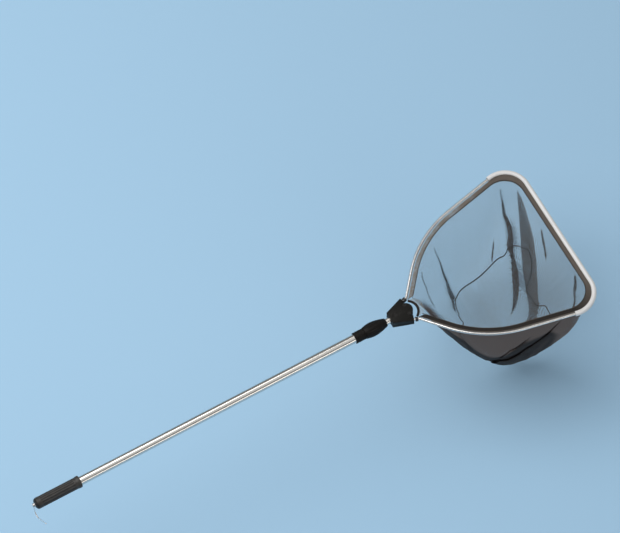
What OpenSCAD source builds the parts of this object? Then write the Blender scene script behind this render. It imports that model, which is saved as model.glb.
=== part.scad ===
// Telescopic pond net: a two-tube pole with a twist lock and a hanging hook,
// a fan-shaped head block that clamps a bent wire frame, and a mesh bag hung on the frame.
// Millimetres. +X runs along the pole from the grip to the head and +Z is up.
// The origin is the middle of the grip, on the axis of the pole.

/* [Pole tubes] */
// Outside diameter of the outer tube
tube_od = 20; // [19:0.5:22]
// Wall of the outer tube
tube_wall = 1; // [0.8:0.1:1.2]
// Bare length of the outer tube between the grip and the lock
tube_show = 678; // [500:1:900]
// Outside diameter of the inner tube
inner_od = 15; // [13:0.5:15.5]
// Wall of the inner tube
inner_wall = 1; // [0.8:0.1:1.2]
// Free length between the end cap and the inner tube's plug, inside the outer tube
rear_gap = 57; // [50:1:300]
// Bare neck of the inner tube between the lock and the head block
neck_show = 10; // [6:1:40]

/* [Grip and end cap] */
// Length of the grip with its end cap
grip_len = 110; // [90:1:160]
// Outside diameter of the grip
grip_od = 26; // [25:0.5:32]
// Number of flutes round the grip
grip_flutes = 14; // [8:1:20]
// Depth of a flute
flute_depth = 0.8; // [0.4:0.1:1]
// Radius of the tool that cuts a flute
flute_r = 2; // [1.5:0.1:3]
// Height of the rolled lip at the front of the grip
lip_h = 0.8; // [0.4:0.1:2]
// Length of the rolled lip
lip_len = 7; // [4:0.5:12]
// Length of the domed end cap behind the grip sleeve
cap_len = 7; // [5:0.5:12]
// Diameter of the flat land that the hook turns on
cap_land_d = 14; // [12:0.5:18]
// Length of the cap's spigot inside the outer tube
cap_spigot = 18; // [16:0.5:30]

/* [Hanging hook] */
// Diameter of the hook wire
hook_d = 3; // [2.5:0.1:4]
// Length of the hook's straight shank, from the pivot to the bend
hook_shank = 26; // [18:1:50]
// Thickness of the hook's flattened eye
hook_eye_t = 2.4; // [1.8:0.1:2.4]
// Radius of the hook's bend at the wire's centre
hook_bend_r = 11; // [7:0.5:20]
// Angle through which the hook bends
hook_bend = 135; // [120:1:165]
// Length of the hook's straight tip
hook_tip = 45; // [20:1:60]
// Shank diameter of the screw that carries the hook
hook_screw_d = 4.4; // [3.5:0.1:5]
// Head diameter of that screw
hook_head_d = 10; // [8.5:0.5:12]
// Head height of that screw
hook_head_h = 2.6; // [2:0.1:4]
// Length of that screw's shank inside the cap
hook_screw_in = 14; // [8:0.5:15]

/* [Twist lock] */
// Outside diameter of the lock body's sleeve
lock_sleeve_od = 25; // [24.5:0.5:28]
// Length of the lock body's sleeve
lock_sleeve = 24; // [20:1:40]
// How far the outer tube enters the lock body
lock_socket = 22; // [16:1:23]
// Diameter of the lock body's threaded spigot, over the thread
lock_spigot_d = 21.5; // [21:0.1:22.5]
// Length of the spigot
lock_spigot = 26; // [18:1:32]
// Length of the collet
collet_len = 14; // [10:0.5:18]
// Wall of the collet at its thin front end
collet_tip_wall = 1.2; // [1:0.1:1.6]
// Number of slits that split the collet
collet_slits = 4; // [2:1:6]
// Width of a slit
collet_slit_w = 1.2; // [0.8:0.1:2]
// Length of the twist nut
nut_len = 54; // [52:1:70]
// Diameter of the twist nut at its rear edge
nut_rear_d = 26; // [25.5:0.5:30]
// Largest diameter of the twist nut
nut_belly_d = 32; // [29:0.5:36]
// Place of the largest diameter, from the rear edge
nut_belly_at = 20; // [14:1:26]
// Diameter of the twist nut's nose
nut_nose_d = 18.4; // [18:0.1:21]
// Number of finger grooves round the twist nut
nut_grooves = 12; // [6:1:16]
// Depth of a finger groove
nut_groove_depth = 1.1; // [0.5:0.1:1.5]
// Radius of the tool that cuts a finger groove
nut_groove_r = 3; // [2:0.1:4]

/* [Inner tube fittings] */
// Length of the guide bush inside the outer tube
bush_len = 25; // [12:1:40]
// Flange thickness of the plug in the inner tube's rear end
plug_flange = 3; // [2:0.5:5]
// Flange diameter of that plug
plug_flange_d = 16.8; // [16:0.1:17]
// Length of that plug inside the inner tube
plug_len = 15; // [10:1:30]
// Outside diameter of the ring that stops the guide bush
stop_ring_od = 17; // [16.5:0.1:17.2]
// Length of that ring
stop_ring_len = 2; // [1.5:0.1:4]
// Length of the stiffening plug in the inner tube's front end
neck_plug_len = 34; // [24:1:60]

/* [Head block] */
// Length of the block from its narrow end to the ends of its ears
block_len = 45; // [42:1:60]
// Half width of the block's narrow end
block_neck_y = 14; // [12:0.5:17]
// Half thickness of the block in the middle
block_half_t = 12; // [11.5:0.5:15]
// Radius of the block's crowned faces, across the pole
block_crown_r = 110; // [90:5:200]
// Distance of a frame wire from the pole's axis where it leaves its ear
ear_y = 24.5; // [23:0.5:30]
// Angle of the wire in its ear, off the pole's axis
ear_angle = 18; // [14:1:22]
// Width of an ear across the wire
ear_w = 13; // [11:0.5:16]
// Length of wire held inside an ear
ear_grip = 18; // [12:0.5:19]
// Radius of the rounded lobe between the ears
lobe_r = 16; // [13:0.5:18]
// How far the lobe stands ahead of the ears
lobe_front = 10; // [6:0.5:14]
// Length of the inner tube inside the block
block_socket = 29; // [22:0.5:30]
// Distance of the tube screw from the narrow end
tube_screw_at = 14; // [9:0.5:18]
// Distance of the two clamp screws behind the ends of the ears
clamp_screw_back = 3; // [1:0.5:5]
// Distance of the clamp screws from the pole's axis
clamp_screw_y = 11; // [10:0.5:12]
// Diameter of the block screws
screw_d = 4; // [3:0.5:4]
// Head diameter of the block screws
screw_head_d = 7.6; // [7:0.1:8]
// Head height of the block screws
screw_head_h = 2.6; // [2:0.1:3]
// Depth of the recess that takes a screw head
screw_sink = 3; // [2.6:0.1:3.4]
// Width across the flats of the nuts
screw_nut_w = 7; // [6.5:0.1:7.5]
// Thickness of the nuts
screw_nut_t = 3.2; // [2.4:0.1:3.6]
// Depth of the pocket that takes a nut
nut_sink = 3.8; // [3.6:0.1:4.2]

/* [Wire frame] */
// Diameter of the frame wire
wire_d = 6; // [4.5:0.5:6.5]
// Width of the frame between wire centres
head_w = 377; // [320:1:440]
// Length of the frame from the ears to the wire at the leading edge
head_l = 375; // [340:1:440]
// Radius of the bend at the root of each arm
root_r = 8; // [7:0.5:14]
// Angle of the arms off the pole's axis
arm_angle = 50; // [44:1:56]
// Angle of the straight sides off the pole's axis
side_angle = 12; // [6:0.5:15]
// Radius of the bend between an arm and its side
bend_r = 256; // [160:1:270]
// Radius of the two front corners
corner_r = 53; // [35:1:65]

/* [Net and edge guard] */
// Outside diameter of the net's hem on the wire
hem_d = 8.2; // [7.8:0.1:9]
// Distance from an ear to the end of the hem, along the wire
hem_start = 3.5; // [2:0.5:8]
// Length of the band that binds each end of the hem
band_len = 6; // [4:0.5:8]
// Length of straight wire between that band and the bend at the arm's root
band_ahead = 0.5; // [0.3:0.1:3]
// Wall of that band
band_wall = 0.8; // [0.5:0.1:1.2]
// Width of the seam where the hem is sewn shut on the wire
hem_seam = 1; // [0.5:0.1:2]
// Diameter of the cord in the net's back edge
cord_d = 4; // [3:0.5:5]
// Distance of that cord ahead of the ears, at the pole's axis
cord_front = 22; // [20:0.5:28]
// Outside diameter of the edge guard
guard_d = 11.8; // [11.2:0.1:14]
// Wall of the edge guard
guard_wall = 1.5; // [1:0.1:1.5]
// Width of the slot that the net passes through
guard_slot = 3.6; // [3:0.1:4.5]
// Length of the guard past each corner, along the sides
guard_tail = 4; // [4:1:40]
// Depth of the bag below the frame
bag_depth = 280; // [150:1:320]
// Thickness of the bag's wall
bag_wall = 1.5; // [1:0.1:2]
// Share of the way to the bag's keel that its hem flange takes
flange_share = 0.07; // [0.05:0.01:0.12]
// Squareness of the bag's section: 2 is round and 5 is boxy
bag_square = 4; // [2.5:0.1:5]
// Distance of the keel's rear end ahead of the ears
keel_rear = 185; // [150:1:205]
// Distance of the keel's front end ahead of the ears
keel_front = 215; // [210:1:280]
// Share of the full depth that is missing at the bag's back edge
back_rise = 0.95; // [0.7:0.01:0.95]
// Share of the full depth that is missing under the leading edge
front_rise = 0.7; // [0:0.01:0.8]

/* [Clearances] */
// Radial clearance of pieces fixed together
fit = 0.05; // [0.03:0.01:0.1]
// Radial clearance of a running fit
run = 0.1; // [0.06:0.01:0.15]
// Clearance along the axis between turning faces
side_play = 0.2; // [0.1:0.05:0.4]
// Clearance between the twist nut and the pieces that it turns round or past
nut_gap = 0.3; // [0.2:0.05:0.5]
// Clearance of the inner tube inside the lock body
tube_gap = 0.4; // [0.3:0.05:0.5]
// Clearance between the net, its hem, its cord and the guard
net_gap = 0.3; // [0.2:0.05:0.4]

/* [Hidden] */
$fn = 64;
// Overshoot of cutting tools
cut = 1;
// Steps round the frame's bends and corners, and sides of the swept sections
root_n = 6;
bend_n = 10;
corner_n = 12;
wire_sides = 16;
channel_sides = 12;
crown_sides = 180;
// Diameter over the corners of a hexagon of width w across its flats
function hex_d(w) = w / cos(30);

// Places along the pole
grip_back = -grip_len / 2;
grip_front = grip_len / 2;
tube_back = grip_back + cap_len;
lock_x = grip_front + tube_show;
tube_front = lock_x + lock_socket;
spigot_x = lock_x + lock_sleeve;
spigot_front = spigot_x + lock_spigot;
nut_x = spigot_x + nut_gap;
nut_front = nut_x + nut_len;
collet_x = spigot_front + side_play;
collet_cone_x = collet_x + collet_len / 4;
collet_front = collet_x + collet_len;
block_x = nut_front + neck_show;
ear_x = block_x + block_len;
inner_front = block_x + block_socket;
inner_back = tube_back + cap_spigot + rear_gap + plug_flange;
inner_len = inner_front - inner_back;
bush_x = inner_back + side_play;
ring_x = bush_x + bush_len + side_play;

// Radii that fits share
tube_id = tube_od - 2 * tube_wall;
inner_id = inner_od - 2 * inner_wall;
spigot_bore = inner_od + 2 * tube_gap;
collet_bore = inner_od + 2 * run;
collet_rear_d = lock_spigot_d - 2 * run;
collet_tip_d = collet_bore + 2 * collet_tip_wall;
nose_bore = inner_od + 2 * nut_gap;
hook_x = grip_back - side_play - hook_d / 2;
hook_eye_r = hook_screw_d / 2 + run + hook_d / 2;
screw_places = [
    [block_x + tube_screw_at, 0],
    [ear_x - clamp_screw_back, clamp_screw_y],
    [ear_x - clamp_screw_back, -clamp_screw_y]
];
head_seat_z = block_half_t - screw_sink;
nut_seat_z = -block_half_t + nut_sink;

// Outline of one half of the frame, seen from above
function heading(angle) = [cos(angle), sin(angle)];
function inward(angle) = [sin(angle), -cos(angle)];
function cross2(p, q) = p.x * q.y - p.y * q.x;
ear = [ear_x, ear_y];
corner_c = [ear_x + head_l - corner_r, head_w / 2 - corner_r];
side_end = corner_c - corner_r * inward(side_angle);
root_run = hem_start + band_len + band_ahead;
root_tangent = root_r * tan((arm_angle - ear_angle) / 2);
root = ear + (root_run + root_tangent) * heading(ear_angle);
root_c = ear + root_run * heading(ear_angle) - root_r * inward(ear_angle);
bend_reach = cross2(side_end - root, heading(side_angle)) / cross2(heading(arm_angle), heading(side_angle));
bend_corner = root + bend_reach * heading(arm_angle);
bend_tangent = bend_r * tan((arm_angle - side_angle) / 2);
arm_end = bend_corner - bend_tangent * heading(arm_angle);
side_start = bend_corner + bend_tangent * heading(side_angle);
bend_c = arm_end + bend_r * inward(arm_angle);
hem_end = ear + hem_start * heading(ear_angle);

// Path points with their headings, [x, y, heading], on an arc from one heading to another;
// "right" is 1 where the arc's centre lies to the right of the path, and -1 where it lies to the left
function arc_path(c, r, from, to, n, right = 1) =
    [for (i = [0 : n])
        let (a = from + (to - from) * i / n, p = c - right * r * inward(a))
        [p.x, p.y, a]];
root_path = arc_path(root_c, root_r, ear_angle, arm_angle, root_n, -1);
bend_path = arc_path(bend_c, bend_r, arm_angle, side_angle, bend_n);
corner_path = arc_path(corner_c, corner_r, side_angle, -90, corner_n);

// Both halves of a path, where "half" runs from one side to the leading edge
function whole_path(half) =
    concat(half, [for (i = [len(half) - 1 : -1 : 0]) [half[i].x, -half[i].y, 180 - half[i].z]]);
function frame_path(start) =
    whole_path(concat([[start.x, start.y, ear_angle]], root_path, bend_path, corner_path));
function guard_path(start) =
    whole_path(concat([[start.x, start.y, side_angle]], corner_path));

// Round and channel sections; their x points out of the frame, to the left of the path
function round_section(d, n) = [for (i = [0 : n - 1]) d / 2 * heading(360 * i / n)];
function open_arc(d, slot, n) =
    let (lip = 180 - asin(slot / d))
    [for (i = [0 : n - 1]) d / 2 * heading(lip * (2 * i / (n - 1) - 1))];
function reversed(list) = [for (i = [len(list) - 1 : -1 : 0]) list[i]];
function channel_section(outer_d, inner_d, slot, n) =
    concat(open_arc(outer_d, slot, n), reversed(open_arc(inner_d, slot, n)));

// Triangles that close the first end of a swept section
function fan_cap(m) = [for (i = [1 : m - 2]) [0, i, i + 1]];
function channel_cap(m) =
    [for (i = [0 : m / 2 - 2])
        for (f = [[i, i + 1, m - 1 - i], [i + 1, m - 2 - i, m - 1 - i]]) f];

// Bands on the hem's ends, and the circle of the cord in the net's back edge
band_id = hem_d + 2 * net_gap;
band_od = band_id + 2 * band_wall;
band_end = hem_end + band_len * heading(ear_angle);
cord_end = band_end + (band_od / 2 + net_gap + cord_d / 2) * inward(ear_angle);
cord_sagitta = ear_x + cord_front - cord_end.x;
cord_r = (cord_end.y * cord_end.y + cord_sagitta * cord_sagitta) / (2 * cord_sagitta);
cord_c = [ear_x + cord_front - cord_r, 0];
cord_half = atan2(cord_end.y, cord_end.x - cord_c.x);

// Bag: points round its mouth, and rings from the mouth down to the keel
back_n = 5;
arm_n = 3;
side_n = 5;
front_n = 4;
rings = 7;
last_ring_angle = 88;
half_n = back_n + arm_n + bend_n + side_n + corner_n + front_n;
loop_n = 2 * half_n;
keel_rear_x = ear_x + keel_rear;
keel_front_x = ear_x + keel_front;
mouth_offset = hem_d / 2 + net_gap;
// Power of the curve by which the bag gets shallower away from its keel
rise_power = 1.5;

function arc_points(c, r, from, to, n) =
    [for (i = [0 : n - 1]) c + r * heading(from + (to - from) * i / n)];
function line_points(p, q, n) = [for (i = [0 : n - 1]) p + (q - p) * i / n];

// Where the back edge's circle of radius r meets the arm's inner line, offset by o
function arm_foot(o) = root + o * inward(arm_angle);
function meet_along(p, r) = -p * heading(arm_angle) + sqrt(pow(p * heading(arm_angle), 2) - p * p + r * r);
function meet(o, r) = arm_foot(o) + meet_along(arm_foot(o) - cord_c, r) * heading(arm_angle);

// Half of the bag's mouth, set in from the hem by d, from the back to the front
function mouth_half(d) =
    let (
        o = mouth_offset + d,
        r = cord_r + cord_d / 2 + net_gap + d,
        m = meet(o, r),
        m_angle = atan2(m.y, m.x - cord_c.x),
        front = ear_x + head_l - o,
        side_turn = 90 + side_angle
    )
    concat(
        arc_points(cord_c, r, 0, m_angle, back_n),
        line_points(m, arm_end + o * inward(arm_angle), arm_n),
        arc_points(bend_c, bend_r - o, 90 + arm_angle, side_turn, bend_n),
        line_points(side_start + o * inward(side_angle), side_end + o * inward(side_angle), side_n),
        arc_points(corner_c, corner_r - o, side_turn, 0, corner_n),
        line_points([front, corner_c.y], [front, 0], front_n),
        [[front, 0]]
    );
function mouth_loop(d) =
    let (h = mouth_half(d))
    concat(h, [for (i = [half_n - 1 : -1 : 1]) [h[i].x, -h[i].y]]);

// Superellipse section: share of the way to the keel, and share of the depth
function ring_angle(k) = k == 0 ? 0 : last_ring_angle * (k - 1) / (rings - 1);
function ring_share(k) =
    k == 0 ? 0 : 1 - (1 - flange_share) * pow(cos(ring_angle(k)), 2 / bag_square);
function ring_drop(k) = k == 0 ? 0 : pow(sin(ring_angle(k)), 2 / bag_square);

// The bag has its full depth over the keel and is shallower behind and ahead of it
function clamped(s) = min(max(s, 0), 1);
function depth_share(x) =
    let (
        rear = clamped((keel_rear_x - x) / (keel_rear_x - ear_x - cord_front)),
        ahead = clamped((x - keel_front_x) / (ear_x + head_l - keel_front_x))
    )
    1 - back_rise * pow(rear, rise_power) - front_rise * pow(ahead, rise_power);
function keel_at(p) = [min(max(p.x, keel_rear_x), keel_front_x), 0];
function bag_point(p, k, lift) =
    let (q = p + (keel_at(p) - p) * ring_share(k))
    [q.x, q.y, lift - bag_depth * ring_drop(k) * depth_share(q.x)];
function bag_skin(d, lift) =
    let (mouth = mouth_loop(d))
    concat(
        [for (k = [0 : rings]) for (p = mouth) bag_point(p, k, lift)],
        [[(keel_rear_x + keel_front_x) / 2, 0, lift - bag_depth]]
    );

// Faces of one skin whose first point has the index "base"; "flip" turns them round
function turned(f, flip) = flip ? [f[2], f[1], f[0]] : f;
function skin_faces(base, flip) =
    [for (k = [0 : rings - 1]) for (i = [0 : loop_n - 1])
        let (
            a = base + k * loop_n + i,
            b = base + k * loop_n + (i + 1) % loop_n
        )
        for (f = [[a, a + loop_n, b], [b, a + loop_n, b + loop_n]]) turned(f, flip)];
function keel_faces(base, flip) =
    let (s = base + rings * loop_n)
    [for (i = [0 : loop_n - 1]) turned([s + i, s + loop_n, s + (i + 1) % loop_n], flip)];
function mouth_faces(other) =
    [for (i = [0 : loop_n - 1])
        let (j = (i + 1) % loop_n)
        for (f = [[i, j, other + i], [j, other + j, other + i]]) f];

black_plastic = "#1d1d1f";
aluminium = "#c9cacb";
steel = "#b4b6b8";
black_steel = "#2f2f31";
white_plastic = "#f1f1ee";
black_net = "#2a2a2b";

// Turns a shape drawn along Z so that it lies along the pole, starting at x
module on_pole(x) {
    translate([x, 0, 0])
        rotate([0, 90, 0])
            children();
}

// Carries a section along a path of [x, y, heading] and closes both ends
module sweep(path, section, cap) {
    m = len(section);
    last = (len(path) - 1) * m;
    sides = [for (k = [0 : len(path) - 2]) for (i = [0 : m - 1])
        let (a = k * m + i, b = k * m + (i + 1) % m)
        for (f = [[a, a + m, b], [b, a + m, b + m]]) f];
    polyhedron(
        points = [for (f = path) for (p = section)
            [f.x - p.x * sin(f.z), f.y + p.x * cos(f.z), p.y]],
        faces = concat(sides, cap, [for (f = cap) [last + f[2], last + f[1], last + f[0]]])
    );
}

// Straight bar of a profile from p to q
module run_line(p, q) {
    translate([p.x, p.y, 0])
        rotate([0, 0, atan2(q.y - p.y, q.x - p.x)])
            rotate([90, 0, 90])
                linear_extrude(norm(q - p))
                    children();
}

module both_sides() {
    for (side = [0, 1])
        mirror([0, side, 0])
            children();
}

module ring_profile(outer_d, inner_d) {
    difference() {
        circle(d = outer_d);
        circle(d = inner_d);
    }
}

module outer_tube() {
    color(aluminium)
        on_pole(tube_back)
            linear_extrude(tube_front - tube_back)
                ring_profile(tube_od, tube_id);
}

module grip() {
    flute_x = tube_back + lip_len;
    flute_end = grip_front - 2 * lip_len;
    color(black_plastic)
        difference() {
            on_pole(0)
                rotate_extrude()
                    polygon([
                        [tube_od / 2 + fit, tube_back],
                        [grip_od / 2, tube_back],
                        [grip_od / 2, grip_front - lip_len],
                        [grip_od / 2 + lip_h, grip_front - lip_len + lip_h],
                        [grip_od / 2 + lip_h, grip_front - lip_h],
                        [grip_od / 2, grip_front],
                        [tube_od / 2 + fit, grip_front]
                    ]);
            for (i = [0 : grip_flutes - 1])
                rotate([360 * i / grip_flutes, 0, 0])
                    translate([0, 0, grip_od / 2 + flute_r - flute_depth])
                        on_pole(flute_x)
                            cylinder(r = flute_r, h = flute_end - flute_x);
        }
}

module grip_end_cap() {
    dome_steps = 8;
    land_r = cap_land_d / 2;
    color(black_plastic)
        on_pole(0)
            rotate_extrude()
                polygon(concat(
                    [[hook_screw_d / 2 + fit, grip_back]],
                    [for (i = [0 : dome_steps])
                        [
                            land_r + (grip_od / 2 - land_r) * sin(90 * i / dome_steps),
                            tube_back - cap_len * cos(90 * i / dome_steps)
                        ]],
                    [
                        [tube_id / 2 - fit, tube_back],
                        [tube_id / 2 - fit, tube_back + cap_spigot],
                        [hook_screw_d / 2 + fit, tube_back + cap_spigot]
                    ]
                ));
}

module hook_screw() {
    under_head = hook_x - hook_d / 2 - side_play;
    slot_w = 1.2;
    slot_depth = 1.3;
    color(steel) {
        on_pole(under_head)
            cylinder(d = hook_screw_d, h = grip_back + hook_screw_in - under_head);
        difference() {
            on_pole(under_head - hook_head_h)
                cylinder(d1 = hook_head_d - 2 * slot_depth, d2 = hook_head_d, h = hook_head_h);
            translate([under_head - hook_head_h, 0, 0])
                cube([2 * slot_depth, hook_head_d + cut, slot_w], center = true);
        }
    }
}

module hanging_hook() {
    bend_c = [-hook_bend_r, -hook_shank];
    bend = arc_path(bend_c, hook_bend_r, -90, -90 - hook_bend, corner_n);
    tip = [bend[corner_n].x, bend[corner_n].y] + hook_tip * heading(bend[corner_n].z);
    path = concat([[0, -hook_eye_r, -90]], bend, [[tip.x, tip.y, bend[corner_n].z]]);
    color(steel)
        translate([hook_x, 0, 0])
            rotate([90, 0, 90])
                difference() {
                    union() {
                        cylinder(r = hook_eye_r + hook_d / 2, h = hook_eye_t, center = true);
                        sweep(path, round_section(hook_d, wire_sides), fan_cap(wire_sides));
                    }
                    cylinder(d = hook_screw_d + 2 * run, h = hook_d + cut, center = true);
                }
}

module lock_body() {
    edge = 1;
    color(black_plastic)
        on_pole(0)
            rotate_extrude()
                polygon([
                    [tube_od / 2 + fit, lock_x],
                    [lock_sleeve_od / 2 - edge, lock_x],
                    [lock_sleeve_od / 2, lock_x + edge],
                    [lock_sleeve_od / 2, spigot_x],
                    [lock_spigot_d / 2, spigot_x],
                    [lock_spigot_d / 2, spigot_front],
                    [spigot_bore / 2, spigot_front],
                    [spigot_bore / 2, tube_front],
                    [tube_od / 2 + fit, tube_front]
                ]);
}

module lock_collet() {
    color(white_plastic)
        difference() {
            on_pole(0)
                rotate_extrude()
                    polygon([
                        [collet_bore / 2, collet_x],
                        [collet_rear_d / 2, collet_x],
                        [collet_rear_d / 2, collet_cone_x],
                        [collet_tip_d / 2, collet_front],
                        [collet_bore / 2, collet_front]
                    ]);
            for (i = [0 : collet_slits - 1])
                rotate([360 * (i + 0.5) / collet_slits, 0, 0])
                    translate([collet_cone_x, -collet_slit_w / 2, 0])
                        cube([collet_len, collet_slit_w, lock_spigot_d]);
        }
}

module lock_nut() {
    steps = 8;
    nose_r = nut_nose_d / 2;
    belly_r = nut_belly_d / 2;
    rear_r = nut_rear_d / 2;
    color(black_plastic)
        difference() {
            on_pole(0)
                rotate_extrude()
                    polygon(concat(
                        [[0, nut_x]],
                        [for (i = [0 : steps])
                            [
                                rear_r + (belly_r - rear_r) * sin(90 * i / steps),
                                nut_x + nut_belly_at * i / steps
                            ]],
                        [for (i = [1 : steps])
                            [
                                nose_r + (belly_r - nose_r) * cos(90 * i / steps),
                                nut_x + nut_belly_at + (nut_len - nut_belly_at) * i / steps
                            ]],
                        [[0, nut_front]]
                    ));
            on_pole(0)
                rotate_extrude()
                    polygon([
                        [0, nut_x - cut],
                        [lock_spigot_d / 2 + run, nut_x - cut],
                        [lock_spigot_d / 2 + run, collet_cone_x],
                        [collet_tip_d / 2 + nut_gap, collet_front + nut_gap],
                        [nose_bore / 2, collet_front + nut_gap],
                        [nose_bore / 2, nut_front + cut],
                        [0, nut_front + cut]
                    ]);
            for (i = [0 : nut_grooves - 1])
                rotate([360 * i / nut_grooves, 0, 0])
                    translate([0, 0, belly_r + nut_groove_r - nut_groove_depth])
                        on_pole(nut_x - cut)
                            cylinder(r = nut_groove_r, h = nut_len + 2 * cut);
        }
}

module inner_tube() {
    color(aluminium)
        difference() {
            on_pole(inner_back)
                linear_extrude(inner_len)
                    ring_profile(inner_od, inner_id);
            translate([screw_places[0].x, 0, 0])
                cylinder(d = screw_d + 2 * fit, h = 2 * inner_od, center = true);
        }
}

module guide_bush() {
    color(white_plastic)
        on_pole(bush_x)
            linear_extrude(bush_len)
                ring_profile(tube_id - 2 * run, inner_od + 2 * run);
}

module bush_stop_ring() {
    color(steel)
        on_pole(ring_x)
            linear_extrude(stop_ring_len)
                ring_profile(stop_ring_od, inner_od + 2 * fit);
}

module tube_end_plug() {
    color(black_plastic) {
        on_pole(inner_back - plug_flange)
            cylinder(d = plug_flange_d, h = plug_flange);
        on_pole(inner_back)
            cylinder(d = inner_id - 2 * fit, h = plug_len);
    }
}

module neck_plug() {
    color(black_plastic)
        difference() {
            on_pole(inner_front - neck_plug_len)
                cylinder(d = inner_id - 2 * fit, h = neck_plug_len);
            translate([screw_places[0].x, 0, 0])
                cylinder(d = screw_d + 2 * fit, h = 2 * inner_od, center = true);
        }
}

// Fan-shaped body of the block: two ears square to their wires, and a round lobe between
module block_body() {
    outer_corner = ear - ear_w / 2 * inward(ear_angle);
    inner_corner = ear + ear_w / 2 * inward(ear_angle);
    notch = inner_corner - ear_grip * heading(ear_angle);
    fan = [
        [block_x, block_neck_y],
        outer_corner,
        inner_corner,
        notch
    ];
    linear_extrude(block_half_t)
        polygon(concat(fan, [for (p = reversed(fan)) [p.x, -p.y]]));
    translate([ear_x + lobe_front - lobe_r, 0, 0])
        cylinder(r = lobe_r, h = block_half_t);
}

// One half of the block with its crown; "up" is 1 for the top half and -1 for the bottom
module block_half(up) {
    difference() {
        intersection() {
            translate([0, 0, up > 0 ? 0 : -block_half_t])
                block_body();
            translate([0, 0, up * (block_half_t - block_crown_r)])
                on_pole(block_x - cut)
                    cylinder(r = block_crown_r, h = block_len + lobe_front + 2 * cut, $fn = crown_sides);
        }
        on_pole(block_x - cut)
            cylinder(d = inner_od + 2 * fit, h = block_socket + cut);
        both_sides()
            run_line(ear - ear_grip * heading(ear_angle), ear + ear_w * heading(ear_angle))
                circle(d = wire_d + 2 * fit);
        for (p = screw_places)
            translate([p.x, p.y, -2 * block_half_t])
                cylinder(d = screw_d + 2 * fit, h = 4 * block_half_t);
    }
}

module head_block_top() {
    color(black_plastic)
        difference() {
            block_half(1);
            for (p = screw_places)
                translate([p.x, p.y, head_seat_z])
                    cylinder(d = screw_head_d + 2 * run, h = block_half_t);
        }
}

module head_block_bottom() {
    color(black_plastic)
        difference() {
            block_half(-1);
            for (p = screw_places)
                translate([p.x, p.y, nut_seat_z - block_half_t])
                    cylinder(d = hex_d(screw_nut_w + 2 * run), h = block_half_t, $fn = 6);
        }
}

module head_screws() {
    slot_w = 1;
    slot_depth = 1.2;
    color(black_steel)
        for (p = screw_places)
            translate([p.x, p.y, 0])
                difference() {
                    union() {
                        translate([0, 0, nut_seat_z - screw_nut_t])
                            cylinder(d = screw_d, h = head_seat_z + screw_nut_t - nut_seat_z);
                        translate([0, 0, head_seat_z])
                            cylinder(d = screw_head_d, h = screw_head_h);
                    }
                    for (turn = [0, 90])
                        rotate([0, 0, turn])
                            translate([0, 0, head_seat_z + screw_head_h])
                                cube([screw_head_d / 2, slot_w, 2 * slot_depth], center = true);
                }
}

module head_nuts() {
    color(black_steel)
        for (p = screw_places)
            translate([p.x, p.y, nut_seat_z - screw_nut_t])
                difference() {
                    cylinder(d = hex_d(screw_nut_w), h = screw_nut_t, $fn = 6);
                    translate([0, 0, -cut])
                        cylinder(d = screw_d + 2 * fit, h = screw_nut_t + 2 * cut);
                }
}

module frame_wire() {
    color(aluminium)
        sweep(frame_path(ear - ear_grip * heading(ear_angle)),
              round_section(wire_d, wire_sides), fan_cap(wire_sides));
}

// Channel that opens towards the inside of the frame
module channel(path, outer_d, inner_d, slot) {
    sweep(path, channel_section(outer_d, inner_d, slot, channel_sides), channel_cap(2 * channel_sides));
}

module edge_guard() {
    color(white_plastic)
        channel(guard_path(side_end - guard_tail * heading(side_angle)),
                guard_d, guard_d - 2 * guard_wall, guard_slot);
}

module net_hem() {
    color(black_net)
        channel(frame_path(hem_end), hem_d, wire_d + 2 * net_gap, hem_seam);
}

module hem_end_bands() {
    color(black_net)
        both_sides()
            run_line(hem_end, band_end)
                ring_profile(band_od, band_id);
}

module back_cord() {
    color(black_net)
        translate([cord_c.x, 0, 0])
            rotate([0, 0, -cord_half])
                rotate_extrude(angle = 2 * cord_half)
                    translate([cord_r, 0])
                        circle(d = cord_d);
}

module net_bag() {
    inner_base = (rings + 1) * loop_n + 1;
    color(black_net)
        polyhedron(
            points = concat(bag_skin(0, -bag_wall / 2), bag_skin(bag_wall, bag_wall / 2)),
            faces = concat(
                skin_faces(0, false),
                keel_faces(0, false),
                skin_faces(inner_base, true),
                keel_faces(inner_base, true),
                mouth_faces(inner_base)
            )
        );
}

outer_tube();
grip();
grip_end_cap();
hook_screw();
hanging_hook();
lock_body();
lock_collet();
lock_nut();
inner_tube();
guide_bush();
bush_stop_ring();
tube_end_plug();
neck_plug();
head_block_top();
head_block_bottom();
head_screws();
head_nuts();
frame_wire();
edge_guard();
net_hem();
hem_end_bands();
back_cord();
net_bag();
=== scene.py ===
"""Looks of a telescopic pond net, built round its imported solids.

Metres. +X runs along the pole from the grip to the head, +Y to the left across the frame, +Z up.
"""

import math

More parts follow.
